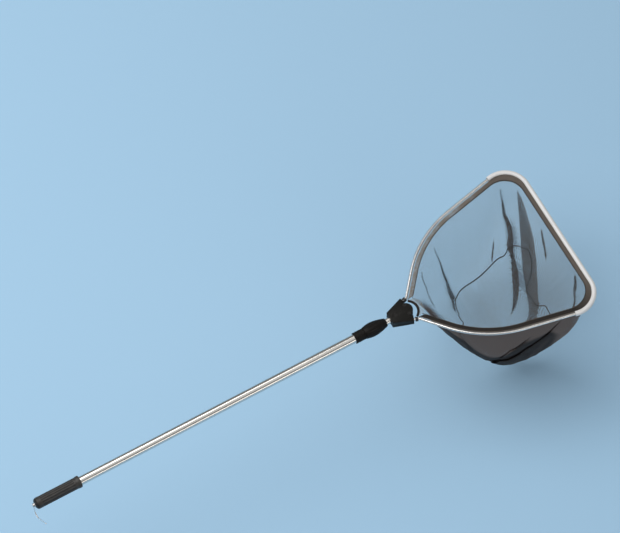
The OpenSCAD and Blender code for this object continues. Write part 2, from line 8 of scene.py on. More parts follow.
import bmesh
import bpy
import numpy as np
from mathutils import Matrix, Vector


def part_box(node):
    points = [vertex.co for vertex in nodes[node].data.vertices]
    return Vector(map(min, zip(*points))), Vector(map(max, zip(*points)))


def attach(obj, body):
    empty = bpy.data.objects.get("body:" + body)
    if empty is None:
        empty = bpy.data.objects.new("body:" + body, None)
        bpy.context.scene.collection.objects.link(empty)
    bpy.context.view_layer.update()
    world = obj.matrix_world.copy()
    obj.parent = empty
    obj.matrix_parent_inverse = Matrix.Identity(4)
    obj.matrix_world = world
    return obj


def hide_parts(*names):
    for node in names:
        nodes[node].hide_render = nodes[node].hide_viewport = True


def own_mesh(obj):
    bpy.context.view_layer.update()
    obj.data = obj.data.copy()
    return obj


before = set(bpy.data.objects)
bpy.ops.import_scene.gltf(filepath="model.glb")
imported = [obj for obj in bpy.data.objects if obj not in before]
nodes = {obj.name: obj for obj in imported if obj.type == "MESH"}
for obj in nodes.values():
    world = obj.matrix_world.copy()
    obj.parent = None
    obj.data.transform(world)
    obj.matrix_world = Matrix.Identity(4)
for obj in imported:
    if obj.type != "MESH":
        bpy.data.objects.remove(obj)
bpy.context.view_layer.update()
MM = 0.001

# Frame: the wire's outline, its ears and what is threaded on it
EAR_ANGLE = math.radians(18)
ARM_ANGLE = math.radians(50)
SIDE_ANGLE = math.radians(12)
ROOT_R = 8 * MM
BEND_R = 256 * MM
CORNER_R = 53 * MM
HEAD_W = 377 * MM
HEAD_L = 375 * MM
EAR_Y = 24.5 * MM
EAR_GRIP = 18 * MM
LOBE_FRONT = 10 * MM
WIRE_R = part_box("frame_wire")[1].z
EAR_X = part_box("head_block_top")[1].x - LOBE_FRONT
EAR = np.array([EAR_X, EAR_Y])
GUARD_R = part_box("edge_guard")[1].z
GUARD_WALL = 1.5 * MM
GUARD_SLOT = 3.6 * MM
GUARD_TAIL = 4 * MM
HEM_START = 3.5 * MM
BAND_LEN = 6 * MM
BAND_AHEAD = 0.5 * MM
BAND_R = 5.2 * MM

# Bag: its mouth, keel and section, and the cord in its back edge
CORD_R = 2 * MM
CORD_FRONT = 22 * MM
NET_GAP = 0.3 * MM
MOUTH_OFFSET = 4.4 * MM
BAG_DEPTH = -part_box("net_bag")[0].z
FLANGE_SHARE = 0.07
BAG_SQUARE = 4
KEEL_REAR = EAR_X + 185 * MM
KEEL_FRONT = EAR_X + 215 * MM
BACK_RISE = 0.95
FRONT_RISE = 0.7
RISE_POWER = 1.5
SEAM_ANGLE = math.radians(65)

# Camera: where the photograph puts the ears, its scale and its direction
PHOTO_SIZE = (620, 533)
EAR_PIXEL = (407.95, 310.75)
PIXEL = 2.146 * MM
AZIMUTH = math.radians(-30.1)
ELEVATION = math.radians(63.4)
CAMERA_AWAY = 40.0
FLOOR_Z = -0.3


def direction(angle):
    """Unit vector at an angle from +X, in the plane of the frame."""
    return np.stack([np.cos(angle), np.sin(angle)], -1)


def ease(x, low, high):
    """Share that goes from 0 to 1 while x goes from low to high, level at both ends."""
    t = np.clip((x - low) / (high - low), 0, 1)
    return t * t * (3 - 2 * t)


class Track:
    """A plane path of straight runs and arcs laid end to end.

    A run is (length, bend, turn): the path turns by "turn" and then bends to the left by "bend"
    radians a metre. At distance d along a run, the chord is d times sin(h) / h, where h is half
    the angle turned so far, and it points along the run's first heading plus h.
    """

    def __init__(self, start, heading, runs):
        self.begin, self.rows = [], []
        point, along = np.array(start, float), 0.0
        for length, bend, turn in runs:
            heading += turn
            self.begin.append(along)
            self.rows.append((point[0], point[1], heading, bend))
            half = bend * length / 2
            point = point + length * np.sinc(half / np.pi) * direction(heading + half)
            heading += 2 * half
            along += length
        self.length = along
        self.begin, self.rows = np.array(self.begin), np.array(self.rows)

    def at(self, s):
        """Points and headings at the distances s."""
        run = np.clip(np.searchsorted(self.begin, s, side="right") - 1, 0, len(self.begin) - 1)
        x, y, heading, bend = np.moveaxis(self.rows[run], -1, 0)
        d = s - self.begin[run]
        half = bend * d / 2
        step = (d * np.sinc(half / np.pi))[..., None] * direction(heading + half)
        return np.stack([x, y], -1) + step, heading + 2 * half


def inward(angle):
    """Unit vector to the right of a heading, which is into the frame."""
    return direction(angle - np.pi / 2)


def cross(p, q):
    """Signed area between two plane vectors."""
    return p[0] * q[1] - p[1] * q[0]


# Outline of the frame: each side has a straight ear, the bend at its root, an arm, a bend,
# a side and a corner
ear_way, arm_way, side_way = direction(EAR_ANGLE), direction(ARM_ANGLE), direction(SIDE_ANGLE)
corner_centre = np.array([EAR_X + HEAD_L - CORNER_R, HEAD_W / 2 - CORNER_R])
side_end = corner_centre - CORNER_R * inward(SIDE_ANGLE)
ROOT_RUN = HEM_START + BAND_LEN + BAND_AHEAD
root_tangent = ROOT_R * math.tan((ARM_ANGLE - EAR_ANGLE) / 2)
root = EAR + (ROOT_RUN + root_tangent) * ear_way
bend_reach = cross(side_end - root, side_way) / cross(arm_way, side_way)
bend_tangent = BEND_R * math.tan((ARM_ANGLE - SIDE_ANGLE) / 2)
ARM_LEN = bend_reach - bend_tangent - root_tangent
SIDE_LEN = np.linalg.norm(side_end - root - bend_reach * arm_way) - bend_tangent
FRONT_LEN = 2 * corner_centre[1]
arm_end = root + (bend_reach - bend_tangent) * arm_way


def frame_runs(arm, offset=0.0, turn=0.0):
    """Runs of the outline set inwards by offset: arm, bend, side, corner, leading edge, and back."""
    bend, corner = BEND_R - offset, CORNER_R - offset
    half = [
        (arm, 0, 0),
        (bend * (ARM_ANGLE - SIDE_ANGLE), -1 / bend, 0),
        (SIDE_LEN, 0, 0),
        (corner * (SIDE_ANGLE + np.pi / 2), -1 / corner, 0),
    ]
    runs = half + [(FRONT_LEN, 0, 0)] + half[::-1]
    runs[0] = (arm, 0, turn)
    return runs


lead = [(EAR_GRIP + ROOT_RUN, 0, 0), (ROOT_R * (ARM_ANGLE - EAR_ANGLE), 1 / ROOT_R, 0)]
wire_track = Track(EAR - EAR_GRIP * ear_way, EAR_ANGLE, lead + frame_runs(ARM_LEN) + lead[::-1])

# Circle of the cord in the net's back edge, through its front and its ends beside the bands
band_front = EAR + (HEM_START + BAND_LEN) * ear_way
cord_end = band_front + (BAND_R + NET_GAP + CORD_R) * inward(EAR_ANGLE)
cord_sagitta = EAR_X + CORD_FRONT - cord_end[0]
CORD_ARC = (cord_end[1] ** 2 + cord_sagitta**2) / (2 * cord_sagitta)
cord_centre = np.array([EAR_X + CORD_FRONT - CORD_ARC, 0])
cord_track = Track(cord_centre + [CORD_ARC, 0], np.pi / 2, [(1.0, 1 / CORD_ARC, 0)])


def mouth_runs():
    """Runs of the bag's mouth: half the back edge's arc, the frame's outline, the other half."""
    arc = CORD_ARC + CORD_R + NET_GAP
    foot = root + MOUTH_OFFSET * inward(ARM_ANGLE) - cord_centre
    reach = -foot @ arm_way + math.sqrt((foot @ arm_way) ** 2 - foot @ foot + arc**2)
    meet = foot + reach * arm_way
    half = math.atan2(meet[1], meet[0])
    turn = ARM_ANGLE - np.pi / 2 - half
    arm = np.linalg.norm(arm_end + MOUTH_OFFSET * inward(ARM_ANGLE) - cord_centre - meet)
    return arc, [
        (arc * half, 1 / arc, 0),
        *frame_runs(arm, MOUTH_OFFSET, turn),
        (arc * half, 1 / arc, turn),
    ]


BACK_ARC, back_and_frame = mouth_runs()
mouth_track = Track(cord_centre + [BACK_ARC, 0], np.pi / 2, back_and_frame)
BACK_HALF = back_and_frame[0][0]
LOOP = mouth_track.length


def grid_faces(n, m, wrap):
    """Corner numbers of the quads between neighbours on an n by m grid, round again where it wraps."""
    number = np.arange(n * m).reshape(n, m)
    for axis in (0, 1):
        if wrap[axis]:
            number = np.concatenate([number, number.take([0], axis)], axis)
    corners = number[:-1, :-1], number[1:, :-1], number[1:, 1:], number[:-1, 1:]
    return np.stack(corners, -1).reshape(-1, 4)


def mesh_from(name, points, faces, uv=None, caps=(), dense=None):
    """Object from points and quads, with caps as single faces and one UV for each quad's corner.

    The quads point away from the middle of the points: if the sum of each quad's area vector
    times its place from that middle is negative, every face is turned round. The last argument
    is the share at each point of extra thread, which also picks darker net tones as painted shade.
    """
    corner = points[faces]
    area = np.cross(corner[:, 2] - corner[:, 0], corner[:, 3] - corner[:, 1])
    inside_out = ((corner.mean(1) - points.mean(0)) * area).sum() < 0
    rows = faces.tolist() + [list(c) for c in caps]
    mesh = bpy.data.meshes.new(name)
    mesh.from_pydata(points.tolist(), [], rows)
    if uv is not None:
        loops = np.zeros((len(mesh.loops), 2))
        loops[: faces.size] = uv.reshape(-1, 2)
        mesh.uv_layers.new(name="UVMap").uv.foreach_set("vector", loops.astype(np.float32).ravel())
    if dense is not None:
        share = mesh.attributes.new("dense", "FLOAT", "POINT")
        share.data.foreach_set("value", dense.astype(np.float32).ravel())
    if inside_out:
        mesh.flip_normals()
    mesh.polygons.foreach_set("use_smooth", np.ones(len(mesh.polygons), bool))
    thing = bpy.data.objects.new(name, mesh)
    bpy.context.scene.collection.objects.link(thing)
    return thing


def weld(thing, within=1e-6):
    """Joins points that lie together, so that seams and poles are closed."""
    shape = bmesh.new()
    shape.from_mesh(thing.data)
    bmesh.ops.remove_doubles(shape, verts=shape.verts, dist=within)
    shape.to_mesh(thing.data)
    shape.free()


def skin(name, grid, wrap, uv=None, capped=False, dense=None):
    """Object from an n by m grid of points. Capped closes the first and last row with one face each.

    A grid with a UV repeats its first column as its last, and the two are joined afterwards.
    """
    n, m = grid.shape[:2]
    faces = grid_faces(n, m, wrap)
    ring = np.arange(m - (uv is not None))
    caps = (ring[::-1], ring + (n - 1) * m) if capped else ()
    corners = None if uv is None else uv.reshape(-1, 2)[faces]
    thing = mesh_from(name, grid.reshape(-1, 3), faces, corners, caps, dense)
    if uv is not None:
        weld(thing)
    return thing


def uv_grid(u, v):
    """UV of each point of a grid, from one value for each row and one for each column."""
    return np.stack(np.meshgrid(u, v, indexing="ij"), -1)


def carried(track, s, out, up):
    """Grid of a section carried along a track: "out" to the left of the path and "up" along Z."""
    point, heading = track.at(s)
    left = direction(heading + np.pi / 2)
    flat = point[:, None, :] + out[..., None] * left[:, None, :]
    return np.concatenate([flat, np.broadcast_to(up, flat.shape[:2])[..., None]], -1)


def turned(x, radius, sides):
    """Grid of a profile turned round the pole: x and radius along the profile, angle round it."""
    angle = 2 * np.pi * np.arange(sides) / sides
    r = radius if radius.ndim == 2 else np.repeat(radius[:, None], sides, 1)
    return np.stack([np.repeat(x[:, None], sides, 1), r * np.cos(angle), r * np.sin(angle)], -1)


def oval_tube(path, across, over, angle):
    """Grid of an oval carried along a path: path + across * cos(angle) + over * sin(angle)."""
    round_it = np.cos(angle)[None, :, None], np.sin(angle)[None, :, None]
    return path[:, None] + round_it[0] * across[:, None] + round_it[1] * over[:, None]


def rounded(corners, radius, count=6):
    """Closed profile with each corner replaced by a quadratic between points set back along its sides.

    A point is set back by the corner's radius, but by no more than 0.45 of the side.
    """
    p = np.array(corners, float)
    radius = np.broadcast_to(np.array(radius, float), len(p))[:, None]
    ends = []
    for step in (1, -1):
        way = np.roll(p, step, 0) - p
        side = np.linalg.norm(way, axis=1, keepdims=True)
        ends.append((p + way * np.minimum(radius / side, 0.45))[:, None])
    t = np.linspace(0, 1, count)[None, :, None]
    return ((1 - t) ** 2 * ends[0] + 2 * t * (1 - t) * p[:, None] + t**2 * ends[1]).reshape(-1, 2)


def resampled(profile, step):
    """Points every "step" or so along a closed profile, by its length."""
    closed = np.concatenate([profile, profile[:1]])
    along = np.concatenate([[0], np.cumsum(np.linalg.norm(np.diff(closed, axis=0), axis=1))])
    s = np.linspace(0, along[-1], max(8, int(along[-1] / step)), endpoint=False)
    return np.stack([np.interp(s, along, closed[:, k]) for k in (0, 1)], -1)


class Value:
    """A shader socket in an expression: each operator adds the Math node that works it out."""

    def __init__(self, finish, socket):
        self.finish, self.socket = finish, socket

    def math(self, operation, *others):
        return self.finish.math(operation, self, *others)

    def __add__(self, other):
        return self.math("ADD", other)

    def __sub__(self, other):
        return self.math("SUBTRACT", other)

    def __rsub__(self, other):
        return self.finish.math("SUBTRACT", other, self)

    def __mul__(self, other):
        return self.math("MULTIPLY", other)

    def __truediv__(self, other):
        return self.math("DIVIDE", other)

    __radd__ = __add__
    __rmul__ = __mul__


class Finish:
    """A material in the making, or the world: its node tree and the one method that adds a node."""

    def __init__(self, owner):
        self.owner = owner
        owner.use_nodes = True
        self.tree = owner.node_tree
        self.tree.nodes.clear()

    def node(self, kind, settings=None, sockets=None, out=0):
        """Adds a node: its settings first, then a value or a link for each named socket."""
        made = self.tree.nodes.new(kind)
        for name, value in (settings or {}).items():
            if name == "stops":
                self.set_stops(made.color_ramp, value)
            else:
                setattr(made, name, value)
        for name, value in (sockets or {}).items():
            if isinstance(value, Value):
                self.tree.links.new(value.socket, made.inputs[name])
            else:
                made.inputs[name].default_value = value
        return Value(self, made.outputs[out]) if len(made.outputs) else made

    @staticmethod
    def set_stops(ramp, stops):
        """Gives a ramp its stops, each a place and a grey."""
        while len(ramp.elements) < len(stops):
            ramp.elements.new(1)
        for element, (place, grey) in zip(ramp.elements, stops):
            element.position = place
            element.color = (grey, grey, grey, 1)

    def math(self, operation, *terms):
        """Math node on values and numbers."""
        return self.node("ShaderNodeMath", {"operation": operation}, dict(enumerate(terms)))

    def mix(self, share, first, second):
        """Colour that goes from the first to the second as share goes from 0 to 1."""
        sockets = {0: share}
        for number, colour in ((6, first), (7, second)):
            sockets[number] = colour if isinstance(colour, Value) else (*colour, 1.0)
        return self.node("ShaderNodeMix", {"data_type": "RGBA"}, sockets, 2)

    def place(self, scale=(1, 1, 1), source="Object"):
        """Coordinates of the surface, stretched by scale."""
        where = self.node("ShaderNodeTexCoord", out=source)
        return self.node("ShaderNodeMapping", None, {"Vector": where, "Scale": scale})

    def part(self, vector, axis):
        """One of a vector's three parts."""
        return self.node("ShaderNodeSeparateXYZ", None, {0: vector}, axis)

    def noise(self, vector, scale=1.0, detail=3.0):
        """Cloudy noise from 0 to 1."""
        return self.node("ShaderNodeTexNoise", None, {"Vector": vector, "Scale": scale, "Detail": detail})

    def ramp(self, value, *stops):
        """Grey that follows the stops as value goes from 0 to 1."""
        return self.node("ShaderNodeValToRGB", {"stops": stops}, {0: value})

    def bump(self, height, strength, distance):
        """Normal that a height bends."""
        sockets = {"Height": height, "Strength": strength, "Distance": distance}
        return self.node("ShaderNodeBump", None, sockets)

    def shown(self, **sockets):
        """Ends the material in one Principled shader; a socket's name has _ for its spaces."""
        named = {name.replace("_", " "): value for name, value in sockets.items()}
        shader = self.node("ShaderNodeBsdfPrincipled", None, named)
        self.node("ShaderNodeOutputMaterial", None, {"Surface": shader})
        return self.owner


def new_finish(name):
    """An empty material."""
    return Finish(bpy.data.materials.new(name))


def drawn_metal(name, dark, bright, roughness, source="Object", along=(2, 900, 900)):
    """Drawn metal: fine lines along the length, faint smudges, and a soft polish between them."""
    m = new_finish(name)
    lines = m.noise(m.place(along, source), 1.0, 4.0)
    smudge = m.ramp(m.noise(m.place((14, 40, 40), source), 1.0, 2.0), (0.45, 0.0), (0.7, 1.0))
    colour = m.mix(m.ramp(lines, (0.3, 0.0), (0.65, 1.0)), dark, bright)
    return m.shown(
        Base_Color=colour,
        Metallic=1.0,
        Roughness=roughness + lines * 0.1 + smudge * 0.05,
        Normal=m.bump(lines, 0.06, 0.0001),
    )


def moulded(name, tone, worn, roughness, grain=2600.0, bump=0.25):
    """Black moulding: fine spark grain, broad cloudy gloss and small rubbed places that are paler."""
    m = new_finish(name)
    where = m.place()
    grit = m.noise(where, grain, 2.0)
    cloud = m.noise(where, 45.0, 3.0)
    rubbed = m.ramp(m.noise(where, 160.0, 5.0), (0.56, 0.0), (0.74, 1.0))
    return m.shown(
        Base_Color=m.mix(rubbed * 0.5 + cloud * 0.25, tone, worn),
        Roughness=roughness + cloud * 0.18 - rubbed * 0.08,
        Specular_IOR_Level=0.12,
        Normal=m.bump(grit + rubbed * 0.4, bump, 0.00012),
    )


def grip_moulding():
    """Satin black grip: the ridges between the flutes are polished and painted paler as their sheen, the
    flutes dull.
    """
    m = new_finish("grip_black")
    where = m.place()
    across, height = m.part(where, 1), m.part(where, 2)
    radius = (across * across + height * height).math("SQRT")
    flute_r, ridge_r = 12.2 * MM, 13 * MM
    ridge = m.node("ShaderNodeMapRange", None, {0: radius, 1: flute_r, 2: ridge_r, 3: 0.0, 4: 1.0})
    grit = m.noise(where, 2200.0, 2.0)
    hand = m.ramp(m.noise(m.place((60, 160, 160)), 1.0, 4.0), (0.4, 0.0), (0.72, 1.0))
    return m.shown(
        # Painted sheen: the ridges are mixed towards the paler tone; the paler handling patches are wear.
        Base_Color=m.mix(ridge * 0.45 + hand * 0.35, (0.012, 0.012, 0.012), (0.062, 0.056, 0.052)),
        Roughness=0.52 - ridge * 0.16 + hand * 0.12,
        Specular_IOR_Level=0.35,
        Normal=m.bump(grit, 0.2, 0.0001),
    )


def guard_plastic():
    """White extruded plastic: faint lines along its length and a little grime in the low places."""
    m = new_finish("guard_white")
    lines = m.noise(m.place((3, 700, 1), "UV"), 1.0, 3.0)
    grime = m.ramp(m.noise(m.place((30, 120, 1), "UV"), 1.0, 5.0), (0.5, 0.0), (0.82, 1.0))
    return m.shown(
        Base_Color=m.mix(grime * 0.5, (0.74, 0.745, 0.75), (0.57, 0.565, 0.55)),
        Roughness=0.3 + lines * 0.12 + grime * 0.1,
        Coat_Weight=0.15,
        Coat_Roughness=0.2,
        Normal=m.bump(lines, 0.1, 0.0001),
    )


def knitted_net(name, cell, thread, extra, tones):
    """Knitted mesh: two sets of slanting threads with a knot where they cross, clear between them.

    With p = (u + v) / cell and q = (u - v) / cell, a thread lies where p or q is within "thread"
    of a whole number, and "extra" widens it by the share that the piece's attribute of extra
    thread and painted shade holds. "tones" lists such shares with the dark and the pale tone of
    the fibres there, and the colour goes evenly from each share to the next. The tones are painted
    light and shade on one black thread: the pale ones at share 0 stand for single net in the
    light, and the darker ones at higher shares paint the shade where layers crowd and where the
    net hangs in shade.
    """
    m = new_finish(name)
    where = m.node("ShaderNodeTexCoord", out="UV")
    wander = m.noise(where, 90.0, 1.0) * (0.9 * cell)
    u = m.part(where, 0) + wander
    v = m.part(where, 1) + wander * 0.4
    dense = m.node("ShaderNodeAttribute", {"attribute_name": "dense"}, out="Fac")
    width = thread + dense * extra
    off_p = 0.5 - (((u + v) / cell).math("FRACT") - 0.5).math("ABSOLUTE")
    off_q = 0.5 - (((u - v) / cell).math("FRACT") - 0.5).math("ABSOLUTE")
    on_thread = off_p.math("MINIMUM", off_q).math("LESS_THAN", width)
    on_knot = (off_p * off_p + off_q * off_q).math("LESS_THAN", width * width * 3.4)
    fibre = m.noise(m.place((1500, 1500, 1), "UV"), 1.0, 2.0)
    # Painted light and shade: the tone follows the attribute's share, paler for single net in the light and
    # darker for crowded net and net in shade.
    last, dark, pale = tones[0]
    colour = m.mix(fibre, dark, pale)
    for share, dark, pale in tones[1:]:
        colour = m.mix((dense - last) / (share - last), colour, m.mix(fibre, dark, pale))
        last = share
    return m.shown(
        Base_Color=colour,
        Roughness=0.55 + fibre * 0.3,
        Specular_IOR_Level=0.2,
        Alpha=on_thread.math("MAXIMUM", on_knot),
        Normal=m.bump(fibre, 0.3, 0.0002),
    )


def spun_thread(name, tone, pale, twist):
    """Twisted black thread: slanting strands across the piece's own UV, painted pale on their crests as a
    highlight.
    """
    m = new_finish(name)
    where = m.node("ShaderNodeTexCoord", out="UV")
    u, v = m.part(where, 0), m.part(where, 1)
    strand = ((u * twist + v * 3.0) * (2 * math.pi)).math("SINE") * 0.5 + 0.5
    fibre = m.noise(m.place((4000, 40, 1), "UV"), 1.0, 2.0)
    return m.shown(
        # Painted highlight: the strands' crests are mixed towards the pale tone.
        Base_Color=m.mix(strand * 0.6 + fibre * 0.3, tone, pale),
        Roughness=0.62 + fibre * 0.2,
        Sheen_Weight=0.2,
        Normal=m.bump(strand + fibre * 0.3, 0.5, 0.0003),
    )


def natural_nylon():
    """Cream nylon of the inner fittings, with a slight mottle."""
    m = new_finish("nylon_natural")
    mottle = m.noise(m.place(), 140.0, 3.0)
    return m.shown(
        Base_Color=m.mix(mottle, (0.7, 0.69, 0.64), (0.82, 0.81, 0.77)),
        Roughness=0.38 + mottle * 0.15,
        Subsurface_Weight=0.1,
    )


tube_metal = drawn_metal("tube_drawn", (0.64, 0.62, 0.585), (0.82, 0.8, 0.76), 0.1)
rod_metal = drawn_metal("rod_bright", (0.84, 0.835, 0.82), (0.96, 0.955, 0.94), 0.2, "UV", (3, 60, 1))
hook_metal = drawn_metal("hook_plated", (0.8, 0.81, 0.82), (0.94, 0.94, 0.94), 0.36, "UV", (20, 40, 1))
bright_steel = drawn_metal("screw_bright", (0.5, 0.5, 0.5), (0.7, 0.7, 0.69), 0.28, along=(500, 500, 90))
black_steel = drawn_metal("screw_oxide", (0.02, 0.02, 0.02), (0.042, 0.041, 0.04), 0.46, along=(500, 500, 90))
grip_black = grip_moulding()
lock_black = moulded("lock_black", (0.006, 0.0055, 0.005), (0.024, 0.021, 0.019), 0.36)
block_black = moulded("block_black", (0.008, 0.008, 0.0075), (0.027, 0.025, 0.022), 0.42, 1900.0, 0.35)
guard_white = guard_plastic()
# Net tones by share, painted light and shade: pale for single net in the light, darker for crowded layers and
# for the shaded lower near wall.
bag_net = knitted_net("bag_net", 3.2 * MM, 0.038, 0.3, (
    (0.0, (0.14, 0.12, 0.1), (0.34, 0.3, 0.25)),
    (0.16, (0.045, 0.036, 0.03), (0.1, 0.08, 0.068)),
    (0.45, (0.11, 0.082, 0.07), (0.26, 0.194, 0.166)),
    (0.85, (0.11, 0.082, 0.07), (0.26, 0.194, 0.166)),
    (1.55, (0.016, 0.012, 0.011), (0.042, 0.032, 0.029)),
))
# Hem tones by share, painted light and shade: pale for single net, darker where the hem is doubled and in
# shade.
hem_net = knitted_net("hem_net", 2.2 * MM, 0.028, 0.5, (
    (0.0, (0.14, 0.12, 0.1), (0.34, 0.3, 0.25)),
    (0.35, (0.14, 0.12, 0.1), (0.3, 0.27, 0.23)),
    (0.6, (0.08, 0.068, 0.06), (0.18, 0.155, 0.135)),
    (1.0, (0.012, 0.01, 0.009), (0.03, 0.026, 0.023)),
))
seam_black = spun_thread("seam_black", (0.014, 0.013, 0.012), (0.05, 0.046, 0.042), 260.0)
cord_black = spun_thread("cord_black", (0.012, 0.012, 0.012), (0.05, 0.048, 0.046), 60.0)
nylon = natural_nylon()


def placed(thing, finish, body, slot, *stands_for):
    """Gives a piece its finish and its body and hides the solids that it stands for; slot is not used."""
    thing.data.materials.append(finish)
    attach(thing, body)
    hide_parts(*stands_for)
    return thing


def steps(low, high, step):
    """Distances from low to high, about "step" apart."""
    return np.linspace(low, high, max(2, int(round((high - low) / step)) + 1))


def round_rod():
    """Frame rod: a circle carried along the wire's outline."""
    s = steps(0, wire_track.length, 2.5 * MM)
    angle = np.linspace(0, 2 * np.pi, 25)
    out, up = WIRE_R * np.cos(angle), WIRE_R * np.sin(angle)
    uv = uv_grid(s, angle)
    rod = skin("frame_rod", carried(wire_track, s, out[None, :], up[None, :]), (False, False), uv, True)
    return placed(rod, rod_metal, "head", "frame_metal", "frame_wire")


def guard_channel():
    """Edge guard: a thick arc, open towards the inside and round at its lips, carried round the front.

    The section is a line of half thickness t along an arc of middle radius r. It goes out along
    the outer side, round a half circle at the lip, back along the inner side and round again.
    Near the guard's ends t shrinks as a quarter circle, which rounds their edges.
    """
    middle, half = GUARD_R - GUARD_WALL / 2, GUARD_WALL / 2
    corner_run = 5
    first = wire_track.begin[corner_run] - GUARD_TAIL
    edge = 0.6 * MM
    s = np.concatenate([
        first + edge * (1 - np.cos(np.linspace(0.3, np.pi / 2, 6)))[:-1],
        steps(first + edge, wire_track.length - first - edge, 2.5 * MM),
        wire_track.length - first - edge * (1 - np.cos(np.linspace(np.pi / 2, 0.3, 6)))[1:],
    ])
    depth = np.minimum(s - first, wire_track.length - first - s)
    thin = half * np.sqrt(np.clip(1 - (1 - np.clip(depth / edge, 0, 1)) ** 2, 0, 1))[:, None]
    lip = np.pi - math.asin((GUARD_SLOT / 2 + half) / middle)
    along = np.linspace(-lip, lip, 44)
    cap = np.linspace(0, np.pi, 8)[1:-1]
    lips, sides = np.full(len(cap), lip), np.zeros(len(along))
    arc = np.concatenate([along, lips, along[::-1], -lips])
    turn = np.concatenate([sides, cap, sides + np.pi, np.pi + cap])
    arc, turn = np.append(arc, arc[0]), np.append(turn, 2 * np.pi)
    radius = middle + thin * np.cos(turn)
    slide = thin * np.sin(turn)
    out = radius * np.cos(arc) - slide * np.sin(arc)
    up = radius * np.sin(arc) + slide * np.cos(arc)
    uv = uv_grid(s, np.arange(len(arc)) * 0.6 * MM)
    guard = skin("edge_guard_channel", carried(wire_track, s, out, up), (False, False), uv, True)
    return placed(guard, guard_white, "head", "guard_plastic", "edge_guard")


def bag_section(angle):
    """Share of the way to the keel and share of the depth: a superellipse, at a ring angle."""
    share = 1 - (1 - FLANGE_SHARE) * np.clip(np.cos(angle), 0, 1) ** (2 / BAG_SQUARE)
    return share, np.sin(angle) ** (2 / BAG_SQUARE)


def bag_at(s, angle):
    """Points of the smooth bag at distance s round its mouth and at a ring angle.

    Each mouth point is drawn towards the nearest point of the keel by the section's share. The
    depth there is the section's depth times a share that falls off behind and ahead of the keel.
    """
    mouth, _ = mouth_track.at(np.mod(s, LOOP))
    keel = np.stack([np.clip(mouth[..., 0], KEEL_REAR, KEEL_FRONT), np.zeros(mouth.shape[:-1])], -1)
    share, drop = bag_section(angle)
    flat = mouth + (keel - mouth) * share[..., None]
    rear = np.clip((KEEL_REAR - flat[..., 0]) / (KEEL_REAR - EAR_X - CORD_FRONT), 0, 1)
    ahead = np.clip((flat[..., 0] - KEEL_FRONT) / (EAR_X + HEAD_L - KEEL_FRONT), 0, 1)
    depth = BAG_DEPTH * drop * (1 - BACK_RISE * rear**RISE_POWER - FRONT_RISE * ahead**RISE_POWER)
    return np.concatenate([flat, -depth[..., None]], -1)


# Folds in the bag: height in mm and share of extra thread, then points along the fold's line:
# distance round the mouth in mm, ring angle in degrees and half width in mm
FOLDS = (
    (3.0, 0.2, (
        (404, 0, 2), (406, 6, 2), (418, 35, 6), (452, 62.5, 28), (505, 70, 56), (558, 77.5, 48),
        (605, 82.5, 28), (625, 84.5, 22), (665, 88, 8),
    )),
    (4.0, 0.12, (
        (448, 0, 2), (451, 5, 4), (471, 18, 28), (490, 28, 49), (518, 42, 64), (549, 54, 78),
        (592, 64, 87), (654, 71, 88), (711, 76, 60), (745, 80, 40), (775, 86, 15),
    )),
    (2.0, 0.15, ((552, 6, 2), (558, 12, 6), (573, 22, 10), (591, 30, 9), (605, 38, 3))),
    (2.5, 0.15, ((688, 0, 3), (707, 2, 6), (719, 22, 8), (749, 37, 7), (770, 50, 4))),
    (2.5, 0.15, ((193, 1, 2), (207, 10, 3), (217, 21, 5), (222, 45, 10), (209, 66, 25), (152, 80, 16))),
    (2.0, 0.15, ((128, 6, 2), (126, 12, 4), (126, 34, 6), (101, 49, 7), (82, 60, 9))),
    (1.5, 0.15, ((391, 50, 2), (390, 56, 5), (386, 62, 6), (382, 70, 4))),
    (4.0, 0.15, ((840, 1, 6), (862, 7, 16), (912, 14, 26), (975, 30, 24), (1000, 60, 16))),
    (3.5, 0.15, ((1085, 2, 5), (1066, 12, 14), (1040, 26, 20), (1012, 48, 14))),
    (3.0, 0.15, ((905, 3, 4), (960, 12, 10), (990, 26, 14), (1010, 55, 8))),
)

# Seam of the bottom panel: distance round the mouth in mm and ring angle in degrees
SEAM = (
    (0, 86), (120, 85), (160, 80), (205, 70), (227, 66.6), (259, 62.3), (279, 62.3), (333, 66), (386, 68.6),
    (433, 67.8), (448, 61.8), (500, 52.6), (538, 46), (566, 51), (585, 59.3), (590, 65), (603, 70), (659, 70),
    (689, 69), (700, 64.6), (741, 65.3), (1000, 70), (1100, 80),
)

# Slack net on the near side: distance round the mouth in metres, and the share of the depth from
# which it is painted darker there, as shade on the lower wall
SHADE_FROM = ((0.84, 0.6), (0.86, 0.34), (0.945, 0.36), (0.985, 0.62), (1.04, 0.68), (1.09, 0.42))


def fold_line(points, degrees):
    """A fold's line round the mouth and its half width at ring angles, and its first and last angle."""
    at_s, at_angle, at_width = np.array(points, float).T
    line = np.interp(degrees, at_angle, at_s * MM)
    return line, np.interp(degrees, at_angle, at_width) * MM, at_angle[0], at_angle[-1]


